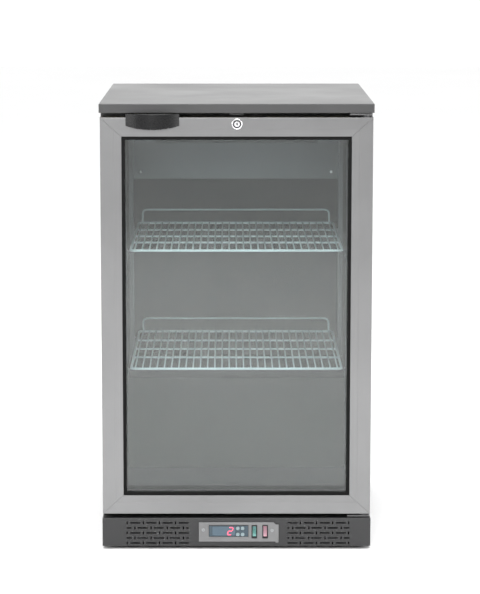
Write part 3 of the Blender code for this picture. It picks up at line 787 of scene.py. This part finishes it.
@dataclass(frozen=True)
class PanScrew:
    """A small pan-head screw with a cross recess."""

    radius: float = 0.0030
    height: float = 0.0014

    def surface(self, centre: tuple[float, float, float], facing: Facing, outwards: float) -> Surface:
        """A dome over a disc, pressed in where two narrow bars cross.

        The height at (x, y) is a dome, less a recess that is deep where the smaller of |x| and |y| is below the
        bar's half width and the larger is below its half length.

        Args:
            centre: Middle of the head's seat.
            facing: The axis the screw looks along.
            outwards: +1 or -1, the way the head points along that axis.

        Returns:
            The closed head.
        """
        rings = np.concatenate([np.linspace(0.0005, 0.62, 8), [0.74, 0.86, 0.95, 1.0]])
        angle = np.arange(32) * 2 * math.pi / 32 + math.pi / 32
        across = rings[:, None] * np.cos(angle)
        up = rings[:, None] * np.sin(angle)
        dome = self.height * np.sqrt(np.maximum(1 - 0.72 * rings[:, None] ** 2, 0.0)) * np.ones_like(across)
        near, far = np.minimum(abs(across), abs(up)), np.maximum(abs(across), abs(up))
        recess = np.clip((0.13 - near) / 0.05, 0, 1) * np.clip((0.58 - far) / 0.08, 0, 1)
        height = dome - 0.62 * self.height * recess
        base = np.full((1, 32), -0.0002)
        rim = slice(-1, None)
        across = np.concatenate([across, across[rim]]) * self.radius
        up = np.concatenate([up, up[rim]]) * self.radius
        height = np.concatenate([height, base])
        middle = [centre[a] for a in facing.value]
        grid = facing.place(middle[0] + across, middle[1] + up, middle[2] + outwards * height)
        return grid_surface(grid)


# ============================================================================ cabinet
@dataclass
class Cabinet:
    """Worktop, outer shell and the screws of the rear grille."""

    shop: Workshop
    corner: float = 0.0035
    edge: float = 0.0016
    hem: float = 0.0021
    sheet: float = 0.0012

    def build(self) -> None:
        """Builds the outside of the cabinet."""
        self.worktop()
        self.shell()
        self.back_screws()

    def worktop(self) -> None:
        """A sheet tray, upside down: a rounded rectangle carried up its outside, over and back inside."""
        low, high = corners_of("worktop")
        bend, rise = quarter(self.edge, 6)
        inset = np.concatenate([[self.hem, self.hem, self.hem - 0.0006, 0.0005, 0.0], bend[::-1], [0.012]])
        out = np.concatenate([[high[2] - self.sheet, low[2] + 0.0006, low[2], low[2], low[2] + 0.0005],
                              high[2] - rise[::-1], [high[2]]])
        middle = ((low[0] + high[0]) / 2, (low[1] + high[1]) / 2)
        half = ((high[0] - low[0]) / 2, (high[1] - low[1]) / 2)
        shape = stacked_loops(middle, half, self.corner, inset, out, Facing.Z)
        self.shop.make("worktop_tray", shape, "brushed_top_steel", "cabinet", ("worktop",))

    def shell(self) -> None:
        """Two sides and a back bent from one sheet: a U in plan with round rear corners, carried upwards."""
        low, high = corners_of("outer_shell")
        outer = bent_path([(low[0], low[1], 0), (low[0], high[1], 0), (high[0], high[1], 0),
                           (high[0], low[1], 0)],
                          0.006)
        t = self.sheet
        inner = bent_path([(low[0] + t, low[1], 0), (low[0] + t, high[1] - t, 0),
                           (high[0] - t, high[1] - t, 0),
                           (high[0] - t, low[1], 0)], 0.005)
        outline = np.concatenate([outer, inner[::-1]])[:, :2]
        opening = Plate((-0.230, 0.2500, -0.05), (0.230, 0.2700, 0.250), Facing.Y, 0.006).surface()
        self.shop.make("side_and_back_sheet", extruded(outline, Facing.Z, low[2], high[2]), "grey_body_paint",
                       "cabinet", ("outer_shell",), (opening,))

    def back_screws(self) -> None:
        """Six screws round the edge of the rear grille."""
        low, high = corners_of("rear_grille")
        heads = [PanScrew(0.0038, 0.0018).surface((x, 0.2633, z), Facing.Y, 1.0)
                 for x in (low[0] + 0.009, high[0] - 0.009)
                 for z in (low[2] + 0.012, low[2] + 0.12, high[2] - 0.012)]
        self.shop.make("rear_grille_screws", heads[0].with_others(*heads[1:]), "bright_chrome", "cabinet")


# ============================================================================ door
@dataclass
class Door:
    """Mitred metal frame, two panes, seal, bowed handle and lock."""

    shop: Workshop
    step_in: float = 0.0233
    width_in: float = 0.0365
    side_stretch: float = 1.06
    rail_stretch: float = 0.953
    front: float = -0.2520
    back: float = -0.2140
    joint_gap: float = 0.00022

    def build(self) -> None:
        """Builds the whole door."""
        self.members()
        self.panes()
        self.bead()
        self.washers()
        self.seal()
        self.handle()
        self.lock()

    def section(self) -> Array:
        """The frame's section as (inset from its edge, depth), with a round outer edge and a low step."""
        inset, rise = quarter(0.0012, 6)
        outer = np.stack([inset[::-1], self.front + rise[::-1]], axis=1)
        s, w = self.step_in, self.width_in
        face = np.array([(s - 0.0001, self.front), (s, self.front + 0.0001), (s, -0.2512),
                         (s + 0.0001, -0.2511), (w - 0.0001, -0.2509), (w, -0.2508), (w, -0.2500),
                         (w, -0.2456), (0.0325, -0.2456), (0.0325, -0.2200), (w, -0.2200), (w, self.back),
                         (0.0335, self.back), (0.0335, self.back - 0.002), (0.0310, self.back - 0.002),
                         (0.0310, self.back), (0.0006, self.back), (0.0, self.back - 0.0006)])
        return np.concatenate([outer, face])

    def member(self, start: tuple[int, int], end: tuple[int, int]) -> Surface:
        """One mitred length: the section at each end is sheared to the corner's slope by its own inset.

        Args:
            start: Signs of the first outer corner along X and Z.
            end: Signs of the second.

        Returns:
            The closed length.
        """
        low, high = corners_of("door_frame_left")[0], corners_of("door_frame_right")[1]
        section = self.section()
        along = np.array([end[0] - start[0], 0.0, end[1] - start[1]])
        along /= np.linalg.norm(along)
        rings = []
        for (sx, sz), shift in ((start, self.joint_gap), (end, -self.joint_gap)):
            corner = np.array([high[0] if sx > 0 else low[0], 0.0, high[2] if sz > 0 else low[2]])
            across = corner[0] - sx * section[:, 0] * self.side_stretch + along[0] * shift
            up = corner[2] - sz * section[:, 0] * self.rail_stretch + along[2] * shift
            rings.append(Facing.Y.place(across, up, section[:, 1]))
        return grid_surface(np.stack(rings))

    def members(self) -> None:
        """Four lengths with the lock's bore and the pins' holes."""
        corners = {"top": ((-1, 1), (1, 1)), "bottom": ((1, -1), (-1, -1)),
                   "left": ((-1, -1), (-1, 1)), "right": ((1, 1), (1, -1))}
        bore = turned([(0.0083, -0.27), (0.0083, -0.20)], (0.0008, 0.0, 0.793), Facing.Y)
        upper = turned([(0.0036, 0.7925), (0.0036, 0.8075)], (0.2355, -0.2330, 0.0), Facing.Z, 20)
        lower = turned([(0.0036, 0.0655), (0.0036, 0.0800)], (0.2355, -0.2330, 0.0), Facing.Z, 20)
        cuts = {"top": (bore, upper), "bottom": (lower,), "left": (), "right": (upper, lower)}
        for side, (start, end) in corners.items():
            self.shop.make(f"frame_{side}_length", self.member(start, end), "satin_grey_door_metal", "door",
                           (f"door_frame_{side}",), cuts[side],
                           finish="door_rail_metal" if side in ("top", "bottom") else "")

    def panes(self) -> None:
        """Two panes of glass with ground edges."""
        for word in ("outer", "inner"):
            low, high = corners_of(f"{word}_glass")
            pane = Plate(tuple(low), tuple(high), Facing.Y, 0.0015, 0.0006).surface()
            self.shop.make(f"{word}_pane", pane, "clear_glass", "door", (f"{word}_glass",))

    def bead(self) -> None:
        """A black rubber bead that holds the glass: a half-round section carried round the opening."""
        left, right = corners_of("door_frame_left")[0], corners_of("door_frame_right")[1]
        middle = ((left[0] + right[0]) / 2, (left[2] + right[2]) / 2)
        half = ((right[0] - left[0]) / 2 - self.width_in * self.side_stretch + 0.0001,
                (right[2] - left[2]) / 2 - self.width_in * self.rail_stretch + 0.0001)
        turn = np.linspace(0.0, math.pi, 9)
        inset = np.concatenate([[0.0], 0.0031 - 0.0031 * np.cos(turn), [0.0062]])
        out = np.concatenate([[-0.2451], -0.2485 - 0.0014 * np.sin(turn) ** 0.5, [-0.2451]])
        shape = stacked_loops(middle, half, 0.0008, inset, out, Facing.Y, 4, True)
        self.shop.make("glazing_bead", shape, "black_rubber", "door", crease=50.0)

    def washers(self) -> None:
        """Two bright washers that the door turns on."""
        rings = [turned_ring([(0.0062, low), (0.0080, low), (0.0083, low + 0.0002), (0.0080, low + 0.0004),
                              (0.0062, low + 0.0004)], (0.2355, -0.2330, 0.0), Facing.Z, 28)
                 for low in (0.8051, 0.0672 - 0.0003)]
        self.shop.make("hinge_washers", rings[0].with_others(rings[1]), "bright_chrome", "door")

    def seal(self) -> None:
        """A bellows seal: its section, with two folds and a soft magnet bead, goes round the door."""
        low, high = corners_of("door_gasket")
        depth = high[1] - low[1]
        share = np.array([(0.00, 0.00), (0.10, 0.10), (0.02, 0.24), (0.10, 0.40), (0.02, 0.56), (0.00, 0.72),
                          (0.03, 0.90), (0.12, 1.00), (0.62, 1.00), (0.74, 0.92), (0.78, 0.72), (0.70, 0.58),
                          (0.92, 0.50), (0.98, 0.34), (0.90, 0.20), (1.00, 0.10), (1.00, 0.00)])
        inset, out = share[:, 0] * 0.0148, low[1] + share[:, 1] * depth
        middle = ((low[0] + high[0]) / 2, (low[2] + high[2]) / 2)
        half = ((high[0] - low[0]) / 2, (high[2] - low[2]) / 2)
        shape = stacked_loops(middle, half, 0.0152, inset, out, Facing.Y, 5, True)
        self.shop.make("door_seal", shape, "black_rubber", "door", ("door_gasket",), crease=50.0)

    def bowed_block(self, width: float, wall: float, top: float, low_ends: float, sag: float,
                    edge: float, back: float) -> Surface:
        """A block whose plan is a shallow bow and whose lower edge sags.

        At share s from -1 to 1 of the width, the front is -0.2546 less 0.0154 times 1 - s^2, and the lower edge
        is low_ends less sag times 1 - s^2. Round ends come from drawing the section in by a quarter circle.

        Args:
            width: Share of the handle's half width that the block takes.
            wall: How far the front stands back from the handle's own front.
            top: Upper face.
            low_ends: Lower edge at the two ends.
            sag: How much lower the middle is.
            edge: Radius of the section's corners.
            back: Where the back face lies.

        Returns:
            The closed block.
        """
        low, high = corners_of("door_handle")
        centre, half = (low[0] + high[0]) / 2, (high[0] - low[0]) / 2
        s = width * np.sin(np.linspace(-math.pi / 2, math.pi / 2, 41))
        bow = 1 - s ** 2
        front = -0.2546 - 0.0154 * bow + wall
        below = low_ends - sag * bow
        mid_y, half_y = (front + back) / 2, np.abs(back - front) / 2
        mid_z, half_z = (top + below) / 2, (top - below) / 2
        radius = np.minimum(edge, half_y * 0.95)
        a, b = rounded_loop(half_y, half_z, radius, 6)
        grid = np.stack([np.broadcast_to((centre + half * s)[:, None], a.shape), mid_y[:, None] + a,
                         mid_z[:, None] + b], axis=-1)
        return grid_surface(grid)

    def handle(self) -> None:
        """The pull: a bowed shell with a finger pocket open below, and a tongue over the door's top edge."""
        outer = self.bowed_block(1.0, 0.0, 0.8120, 0.7897, 0.0062, 0.0014, -0.2523)
        pocket = self.bowed_block(0.84, 0.0025, 0.8088, 0.7700, 0.0, 0.0012, -0.2543)
        tongue = Plate((-0.1950, -0.2535, 0.8053), (-0.1100, -0.2400, 0.8076), Facing.Z, 0.003,
                       0.0006).surface()
        self.shop.make("pull_handle", outer, "gloss_black_plastic", "door", ("door_handle",), (pocket,), 40.0)
        self.shop.make("pull_handle_tongue", tongue, "gloss_black_plastic", "door")

    def lock(self) -> None:
        """A chrome lock: a ring with a dished face and a plug with a key slot."""
        at = (0.0008, 0.0, 0.7930)
        ring = turned_ring([(0.0080, -0.2127), (0.0080, -0.2523), (0.0098, -0.2524), (0.0098, -0.2532),
                            (0.0095, -0.2540), (0.0088, -0.2545), (0.0081, -0.2544), (0.0076, -0.2538),
                            (0.0073, -0.2526), (0.0071, -0.2490), (0.0062, -0.2485), (0.0062, -0.2127)],
                           at, Facing.Y, 48)
        self.shop.make("lock_ring", ring, "bright_chrome", "door", ("lock_barrel",))
        plug = turned([(0.0060, -0.2112), (0.0060, -0.2495), (0.0053, -0.2500), (0.0053, -0.2528),
                       (0.0050, -0.2533), (0.0030, -0.2534)], at, Facing.Y, 40)
        slot = Plate((-0.0003, -0.2600, 0.7903), (0.0019, -0.2515, 0.7957), Facing.Y, 0.0008,
                     0.0001).surface()
        shroud = turned_ring([(0.0056, -0.2503), (0.0056, -0.2530), (0.0058, -0.2533), (0.0072, -0.2533),
                              (0.0074, -0.2530), (0.0074, -0.2503)], at, Facing.Y, 40)
        self.shop.make("lock_shroud", shroud, "matt_black_plastic", "door")
        keyway = Plate((-0.0003, -0.2530, 0.7903), (0.0019, -0.2515, 0.7957), Facing.Y, 0.0008,
                       0.0002).surface()
        self.shop.make("keyway", keyway, "matt_black_plastic", "lock")
        self.shop.make("lock_core", plug, "bright_chrome", "lock", ("lock_plug",), (slot,))
        cam = Plate((-0.0157, -0.2122, 0.7885), (0.0058, -0.2102, 0.7975), Facing.Y, 0.0043, 0.0003).surface()
        self.shop.make("lock_cam", cam, "zinc_plate", "lock")


# ============================================================================ shelves
@dataclass
class WireShelf:
    """A welded shelf of coated wire: a frame, long wires that turn down over the front, and cross wires."""

    shop: Workshop
    level: str
    wires: int = 29
    thin: float = 0.0014
    thick: float = 0.0024
    spread: float = 0.189
    cross_at: tuple[float, ...] = (-0.062, 0.025, 0.117)
    stop_height: float = 0.0270

    def build(self) -> None:
        """Builds the shelf as one welded piece."""
        low, high = corners_of(f"shelf_{self.level}")
        z = {"lower": 0.329, "upper": 0.552}[self.level]
        x0, x1, y0, y1 = low[0] + self.thick, high[0] - self.thick, low[1] + self.thick, high[1] - self.thick
        ring = bent_path([(0.0, y0, z), (x1, y0, z), (x1, y1, z), (x0, y1, z), (x0, y0, z), (-0.001, y0, z)],
                         0.012, 7)
        parts = [tube(ring, self.thick, 12, True)]
        long_z = z + self.thin * 0.4
        path = bent_path([(0.0, y1 + 0.001, long_z), (0.0, y0 - 0.0008, long_z),
                          (0.0, y0 - 0.0008, z - 0.0022)],
                         0.0024, 6)
        wire = tube(path, self.thin, 8)
        x = np.linspace(-self.spread, self.spread, self.wires)
        parts.append(wire.repeated(np.stack([x, 0 * x, 0 * x], axis=1)))
        for y in self.cross_at:
            line = np.array([(x0, y, z - 0.0022), (0.0, y, z - 0.0022), (x1, y, z - 0.0022)])
            parts.append(tube(line, 0.0019, 10))
        top = z + self.stop_height
        stop = bent_path([(x0 + 0.008, y1, z), (x0 + 0.008, y1, top), (x1 - 0.008, y1, top),
                          (x1 - 0.008, y1, z)],
                         0.010, 7)
        parts.append(tube(stop, 0.0018, 10))
        self.shop.make(f"{self.level}_wire_shelf", parts[0].with_others(*parts[1:]), "coated_wire",
                       f"{self.level}_shelf", (f"shelf_{self.level}",), crease=60.0)


# ============================================================================ inside of the cabinet
@dataclass
class Inside:
    """The moulded liner, the screws of the cooling unit's cover and the lamp over the door."""

    shop: Workshop
    radius: float = 0.0034
    side_radius: float = 0.0022
    sheet: float = 0.0012

    def build(self) -> None:
        """Builds what lines the inside of the cabinet."""
        self.liner()
        self.lamp()
        self.cover()

    def liner(self) -> None:
        """A block of the side view's outline, less a cavity with round inner corners."""
        low, high = corners_of("inner_liner")
        front, floor, step_y, step_z, back, roof = -0.2013, 0.0970, -0.0070, 0.2765, 0.2280, 0.7660
        t, wide = self.sheet, high[0] - self.sheet

        def side_view(out: float, start: float) -> list[tuple[float, float]]:
            """The cavity's side view grown outwards, from a given front."""
            return [(start, floor - out), (step_y + out, floor - out), (step_y + out, step_z - out),
                    (back + out, step_z - out), (back + out, roof + out), (start, roof + out)]

        outer = carried(side_view(t, front), np.zeros(2), np.array([low[0], high[0]]), Facing.X)
        inset, rise = quarter(self.side_radius, 5)
        cavity = carried(rounded(side_view(0.0, -0.32), self.radius, 5), np.concatenate([inset, inset[::-1]]),
                         np.concatenate([rise - wide, wide - rise[::-1]]), Facing.X)
        pipe_hole = turned([(0.006, 0.20), (0.006, 0.26)], (0.180, 0.0, 0.700), Facing.Y, 24)
        self.shop.make("moulded_liner", outer, "dark_liner", "cabinet", ("inner_liner",), (cavity, pipe_hole))

    def lamp(self) -> None:
        """A dark channel that hides a strip of light, which shines down and back."""
        low, high = corners_of("light_bar")
        section = rounded([(low[1], low[2]), (high[1], low[2]), (high[1], high[2]), (low[1], high[2])], 0.003)
        channel = edged(section, low[0], high[0], 0.0012, Facing.X)
        groove = Plate((low[0] + 0.004, low[1] + 0.004, low[2] - 0.01),
                       (high[0] - 0.004, high[1] + 0.01, low[2] + 0.0075), Facing.X, 0.001, 0.0005).surface()
        self.shop.make("light_channel", channel, "matt_black_plastic", "cabinet", (), (groove,))
        strip = Plate((low[0] + 0.005, low[1] + 0.005, low[2] + 0.0045),
                      (high[0] - 0.005, high[1] - 0.001, low[2] + 0.0072), Facing.Z, 0.001, 0.0008).surface()
        self.shop.make("light_strip", strip, "lamp_diffuser", "cabinet", ("light_bar",))

    def cover(self) -> None:
        """Four screws in the cover of the cooling unit."""
        low, high = corners_of("evaporator_cover")
        heads = [PanScrew().surface((x, low[1], z), Facing.Y, -1.0)
                 for x in (low[0] + 0.02, high[0] - 0.02) for z in (low[2] + 0.014, high[2] - 0.014)]
        self.shop.make("cover_screws", heads[0].with_others(*heads[1:]), "bright_chrome", "cabinet")


# ============================================================================ controls
@dataclass
class MachinePanel:
    """The folded panel under the door, with two groups of short slots and the opening for the controls."""

    shop: Workshop
    sheet: float = 0.0012
    edge: float = 0.0013
    rows: int = 5
    top_row: float = 0.0502
    row_pitch: float = 0.0096
    pitch: float = 0.0300
    groups: tuple[tuple[float, float, tuple[float, float], tuple[float, float]], ...] = (
        (-0.2045, -0.0883, (-0.2031, -0.1886), (-0.1879, -0.1741)),
        (0.0945, 0.2105, (0.1186, 0.1047), (0.1042, 0.1189)))

    def slots(self) -> Surface:
        """Every slot as a cutting block: lying ones with a short upright one between them, row by row."""
        made = []
        for low, high, uprights, longs in self.groups:
            for row in range(self.rows):
                z, odd = self.top_row - self.row_pitch * row, row % 2
                for k in range(-1, 5):
                    x = uprights[odd] + self.pitch * k
                    if low <= x - 0.0012 and x + 0.0012 <= high:
                        made.append(Plate((x - 0.00125, -0.26, z - 0.0028), (x + 0.00125, -0.24, z + 0.0028),
                                          Facing.Y, 0.0011, 0.0001, 3).surface())
                    a = max(longs[odd] + self.pitch * k - 0.0096, low)
                    b = min(longs[odd] + self.pitch * k + 0.0096, high)
                    if b - a > 0.003:
                        made.append(Plate((a, -0.26, z - 0.0013), (b, -0.24, z + 0.0013), Facing.Y, 0.0011,
                                          0.0001, 3).surface())
        return made[0].with_others(*made[1:])

    def build(self) -> None:
        """A tray on its side: from inside the front, back along the wall, then forward round the edge."""
        low, high = corners_of("kick_panel")
        bend, rise = quarter(self.edge, 5)
        t = self.sheet
        inset = np.concatenate([[t, t, 0.0], bend[::-1]])
        out = np.concatenate([[low[1] + t, high[1], high[1]], low[1] + rise[::-1]])
        middle = ((low[0] + high[0]) / 2, (low[2] + high[2]) / 2)
        half = ((high[0] - low[0]) / 2, (high[2] - low[2]) / 2)
        shape = stacked_loops(middle, half, 0.0016, inset, out, Facing.Y, 4)
        window = Plate((-0.0505, -0.26, 0.0215), (0.0610, -0.24, 0.0480), Facing.Y, 0.001, 0.0001).surface()
        self.shop.make("slotted_panel", shape, "dark_grey_panel", "cabinet", ("kick_panel",),
                       (self.slots(), window))
        self.bezel()

    def bezel(self) -> None:
        """The control plate: one outline with a clipped corner and a side tab, and rounded openings."""
        outline = [(-0.0698, 0.0149), (0.0725, 0.0149), (0.0725, 0.0130), (0.0784, 0.0130), (0.0784, 0.0472),
                   (0.0780, 0.0476), (0.0731, 0.0476), (0.0688, 0.0519), (-0.0698, 0.0519)]
        shape = edged(rounded(outline, 0.0008, 4), -0.2538, -0.2526, 0.0004, Facing.Y)
        spans = [(-0.0495, 0.0205, 0.0252, 0.0458)]
        spans += [(x - 0.0050, x + 0.0050, 0.0220, 0.0461) for x in (0.03325, 0.0533)]
        windows = [Plate((x0, -0.26, z0), (x1, -0.24, z1), Facing.Y, 0.001, 0.0001).surface()
                   for x0, x1, z0, z1 in spans]
        self.shop.make("control_plate", shape, "zinc_plate", "cabinet", ("control_bezel",),
                       (windows[0].with_others(*windows[1:]),))


@dataclass
class Controls:
    """Display, keys, rockers and screws of the control plate."""

    shop: Workshop
    digit_at: tuple[float, float] = (-0.0115, 0.0355)
    digit_height: float = 0.0136
    digit_width: float = 0.0076
    stroke: float = 0.0017
    slant: float = 0.24

    def build(self) -> None:
        """Builds the small parts of the control plate."""
        low, high = corners_of("display_window")
        lens = Plate(tuple(low), tuple(high), Facing.Y, 0.0012, 0.0003).surface()
        self.shop.make("display_lens", lens, "display_lens", "cabinet", ("display_window",))
        film = Plate((-0.0505, -0.2558, 0.0254), (0.0216, -0.2555, 0.0456), Facing.Y, 0.0012,
                     0.0001).surface()
        holes = [turned([(0.0037, -0.26), (0.0037, -0.25)], (x, 0.0, z), Facing.Y, 24)
                 for x in (0.0025, 0.0115) for z in (0.0292, 0.0408)]
        holes.append(Plate((low[0] - 0.0001, -0.26, low[2] - 0.0001),
                           (high[0] + 0.0001, -0.25, high[2] + 0.0001), Facing.Y, 0.0012, 0.0001).surface())
        self.shop.make("display_film", film, "display_lens", "cabinet", (),
                       (holes[0].with_others(*holes[1:]),), finish="display_film")
        self.digit()
        for word in ("set", "up", "down", "defrost"):
            self.key(word)
        for word, slot in (("light", "green_rocker_plastic"), ("power", "red_rocker_plastic")):
            self.rocker(word, slot)
        heads = [PanScrew(0.0032, 0.0014).surface((x, -0.2538, z), Facing.Y, -1.0)
                 for x, z in ((-0.0614, 0.0371), (0.0664, 0.0367))]
        self.shop.make("control_screws", heads[0].with_others(heads[1]), "zinc_plate", "cabinet",
                       finish="galvanised_sheet")

    def bar(self, start: tuple[float, float], end: tuple[float, float]) -> Surface:
        """One lit bar of the digit: a long hexagon between two points, leaned over by the digit's slant."""
        start_a, end_a = np.array(start), np.array(end)
        along = (end_a - start_a) / np.linalg.norm(end_a - start_a)
        side = np.array([-along[1], along[0]]) * self.stroke / 2
        gap, tip = 0.0003, self.stroke / 2
        a, b = start_a + along * gap, end_a - along * gap
        outline = np.array([a, a + along * tip + side, b - along * tip + side, b, b - along * tip - side,
                            a + along * tip - side])
        outline[:, 0] += outline[:, 1] * self.slant
        outline += np.array(self.digit_at)
        return extruded(outline, Facing.Y, -0.2561, -0.2558)

    def digit(self) -> None:
        """A two: top, upper right, middle, lower left and bottom bars."""
        w, h = self.digit_width / 2, self.digit_height / 2
        bars = [self.bar(*ends) for ends in (((-w, h), (w, h)), ((w, h), (w, 0)), ((w, 0), (-w, 0)),
                                             ((-w, 0), (-w, -h)), ((-w, -h), (w, -h)))]
        self.shop.make("display_digit", bars[0].with_others(*bars[1:]), "lit_digit", "cabinet")

    def key(self, word: str) -> None:
        """A round key with a dished top."""
        low, high = corners_of(f"thermostat_button_{word}")
        middle = (low + high) / 2
        r = (high[0] - low[0]) / 2
        out = np.array([(r, high[1]), (r, low[1] + 0.0006), (r * 0.95, low[1] + 0.0002), (r * 0.86, low[1]),
                        (r * 0.70, low[1] + 0.0001), (r * 0.45, low[1] + 0.00035), (r * 0.01, low[1] + 0.0005)])
        self.shop.make(f"{word}_key", turned(out, (middle[0], 0.0, middle[2]), Facing.Y, 32),
                       "pale_grey_plastic",
                       f"{word}_button", (f"thermostat_button_{word}",), crease=50.0)

    def rocker(self, word: str, slot: str) -> None:
        """A rocker with a shallow curved face: its depth rises with the square of distance from its middle."""
        low, high = corners_of(f"{word}_switch_rocker")
        x, y, z = (low[0] + high[0]) / 2, -0.2500, 0.03405
        tilt = math.radians(8.0)
        along = np.linspace(-0.0094, 0.0094, 15)
        face = -0.0020 - 0.0013 * (along / 0.0094) ** 2
        outline = np.concatenate([np.stack([face, along], 1), [(0.0016, 0.0090), (0.0016, -0.0090)]])
        turned_y = y + outline[:, 0] * math.cos(tilt) + outline[:, 1] * math.sin(tilt)
        turned_z = z - outline[:, 0] * math.sin(tilt) + outline[:, 1] * math.cos(tilt)
        shape = extruded(np.stack([turned_y, turned_z], 1), Facing.X, x - 0.0033, x + 0.0033)
        self.shop.make(f"{word}_rocker_cap", shape, slot, f"{word}_rocker", (f"{word}_switch_rocker",))


# ============================================================================ studio
@dataclass(frozen=True)
class Lamp:
    """A square soft lamp: where it hangs, what it faces, its side and its power in watts."""

    name: str
    at: tuple[float, float, float]
    aim: tuple[float, float, float]
    size: float
    power: float

    def hang(self) -> None:
        """Puts the lamp into the scene."""
        data = bpy.data.lights.new(self.name, "AREA")
        data.size = self.size
        data.energy = self.power
        made = bpy.data.objects.new(self.name, data)
        made.location = self.at
        made.rotation_euler = (Vector(self.aim) - Vector(self.at)).to_track_quat("-Z", "Y").to_euler()
        bpy.context.scene.collection.objects.link(made)


@dataclass
class Studio:
    """Pale floor, pale surround, soft lamps and the camera."""

    camera_at: tuple[float, float, float] = (-0.0127, -4.3575, 1.1557)
    focal_px: float = 2271.8
    image: tuple[int, int] = (480, 594)
    pitch: float = 8.06
    shift: tuple[float, float] = (0.0175, -0.09)
    front_sky: float = 0.20
    back_sky: float = 1.3
    even: float = 2.05
    lamps: tuple[Lamp, ...] = (
        Lamp("overhead_lamp", (0.0, -1.4, 3.0), (0.0, -0.2, 0.4), 2.4, 70.0),
        Lamp("front_lamp", (-0.4, -4.2, 1.95), (0.0, -0.2, 0.7), 1.1, 50.0),
        Lamp("left_lamp", (-3.2, -1.9, 1.5), (0.0, -0.2, 0.6), 1.9, 40.0),
        Lamp("right_lamp", (3.3, -1.5, 1.4), (0.0, -0.2, 0.5), 1.9, 45.0),
    )
    def build(self) -> None:
        """Builds the floor, the surround, the lamps and the camera."""
        bpy.context.scene.view_settings.view_transform = "Standard"
        self.floor()
        self.sky()
        self.sun()
        for lamp in self.lamps:
            lamp.hang()
        self.camera()

    def floor(self) -> None:
        """A wide pale floor with a faint unevenness in its tone."""
        side = np.linspace(-1.0, 1.0, 9) * 14.0
        across, up = np.meshgrid(side, side)
        grid = Facing.Z.place(across, up, np.zeros_like(across))
        made = put_mesh("floor", grid_surface(grid, around=False, ends=False), 30.0)
        r = Recipe("studio_floor")
        r.feed("Base Color", r.blend(r.span(r.noise(0.8), 0.0, 1.0), (0.945, 0.945, 0.945),
                                     (0.965, 0.965, 0.965)))
        r.set(Roughness=0.85, Specular_IOR_Level=0.2)
        made.data.materials.append(r.material)

    def sky(self) -> None:
        """A surround that is white to look at, bright behind the object and dimmer in front of it.

        Its strength rises from the front's to the back's as the direction turns from -Y to +Y.
        """
        world = bpy.data.worlds.new("surround")
        world.use_nodes = True
        tree = world.node_tree
        parts = {key: tree.nodes.new(f"ShaderNode{key}") for key in ("TexCoord", "SeparateXYZ", "MapRange",
                                                                      "LightPath", "Math")}
        turn, plain = parts["MapRange"], parts["Math"]
        for key, number in (("From Min", 0.35), ("From Max", 0.80), ("To Min", self.front_sky),
                            ("To Max", self.back_sky)):
            turn.inputs[key].default_value = number
        plain.operation = "MAXIMUM"
        tree.links.new(parts["TexCoord"].outputs["Generated"], parts["SeparateXYZ"].inputs[0])
        tree.links.new(parts["SeparateXYZ"].outputs["Y"], turn.inputs["Value"])
        tree.links.new(turn.outputs["Result"], plain.inputs[0])
        tree.links.new(parts["LightPath"].outputs["Is Camera Ray"], plain.inputs[1])
        back = tree.nodes["Background"]
        back.inputs["Color"].default_value = (1.0, 1.0, 1.0, 1.0)
        tree.links.new(plain.outputs[0], back.inputs["Strength"])
        bpy.context.scene.world = world

    def sun(self) -> None:
        """A very wide, weak sun straight above, which keeps the whole floor evenly pale."""
        data = bpy.data.lights.new("even_lamp", "SUN")
        data.angle = math.radians(70.0)
        data.energy = self.even
        bpy.context.scene.collection.objects.link(bpy.data.objects.new("even_lamp", data))

    def camera(self) -> None:
        """A long lens in front of the door, a little above it."""
        data = bpy.data.cameras.new("camera")
        data.sensor_fit = "AUTO"
        data.sensor_width = 36.0
        data.lens = 36.0 * self.focal_px / self.image[1]
        data.shift_x, data.shift_y = self.shift
        made = bpy.data.objects.new("camera", data)
        made.location = self.camera_at
        made.rotation_euler = (math.radians(90.0 - self.pitch), 0.0, 0.0)
        bpy.context.scene.collection.objects.link(made)
        bpy.context.scene.camera = made


def main() -> None:
    """Builds every sub-assembly in order."""
    logging.basicConfig(level=logging.INFO, format="%(name)s: %(message)s")
    palette = Palette()
    palette.dress_solids()
    shop = Workshop(palette)
    Cabinet(shop).build()
    Door(shop).build()
    for level in ("lower", "upper"):
        WireShelf(shop, level).build()
    Inside(shop).build()
    MachinePanel(shop).build()
    Controls(shop).build()
    Studio().build()


if __name__ == "__main__":
    main()
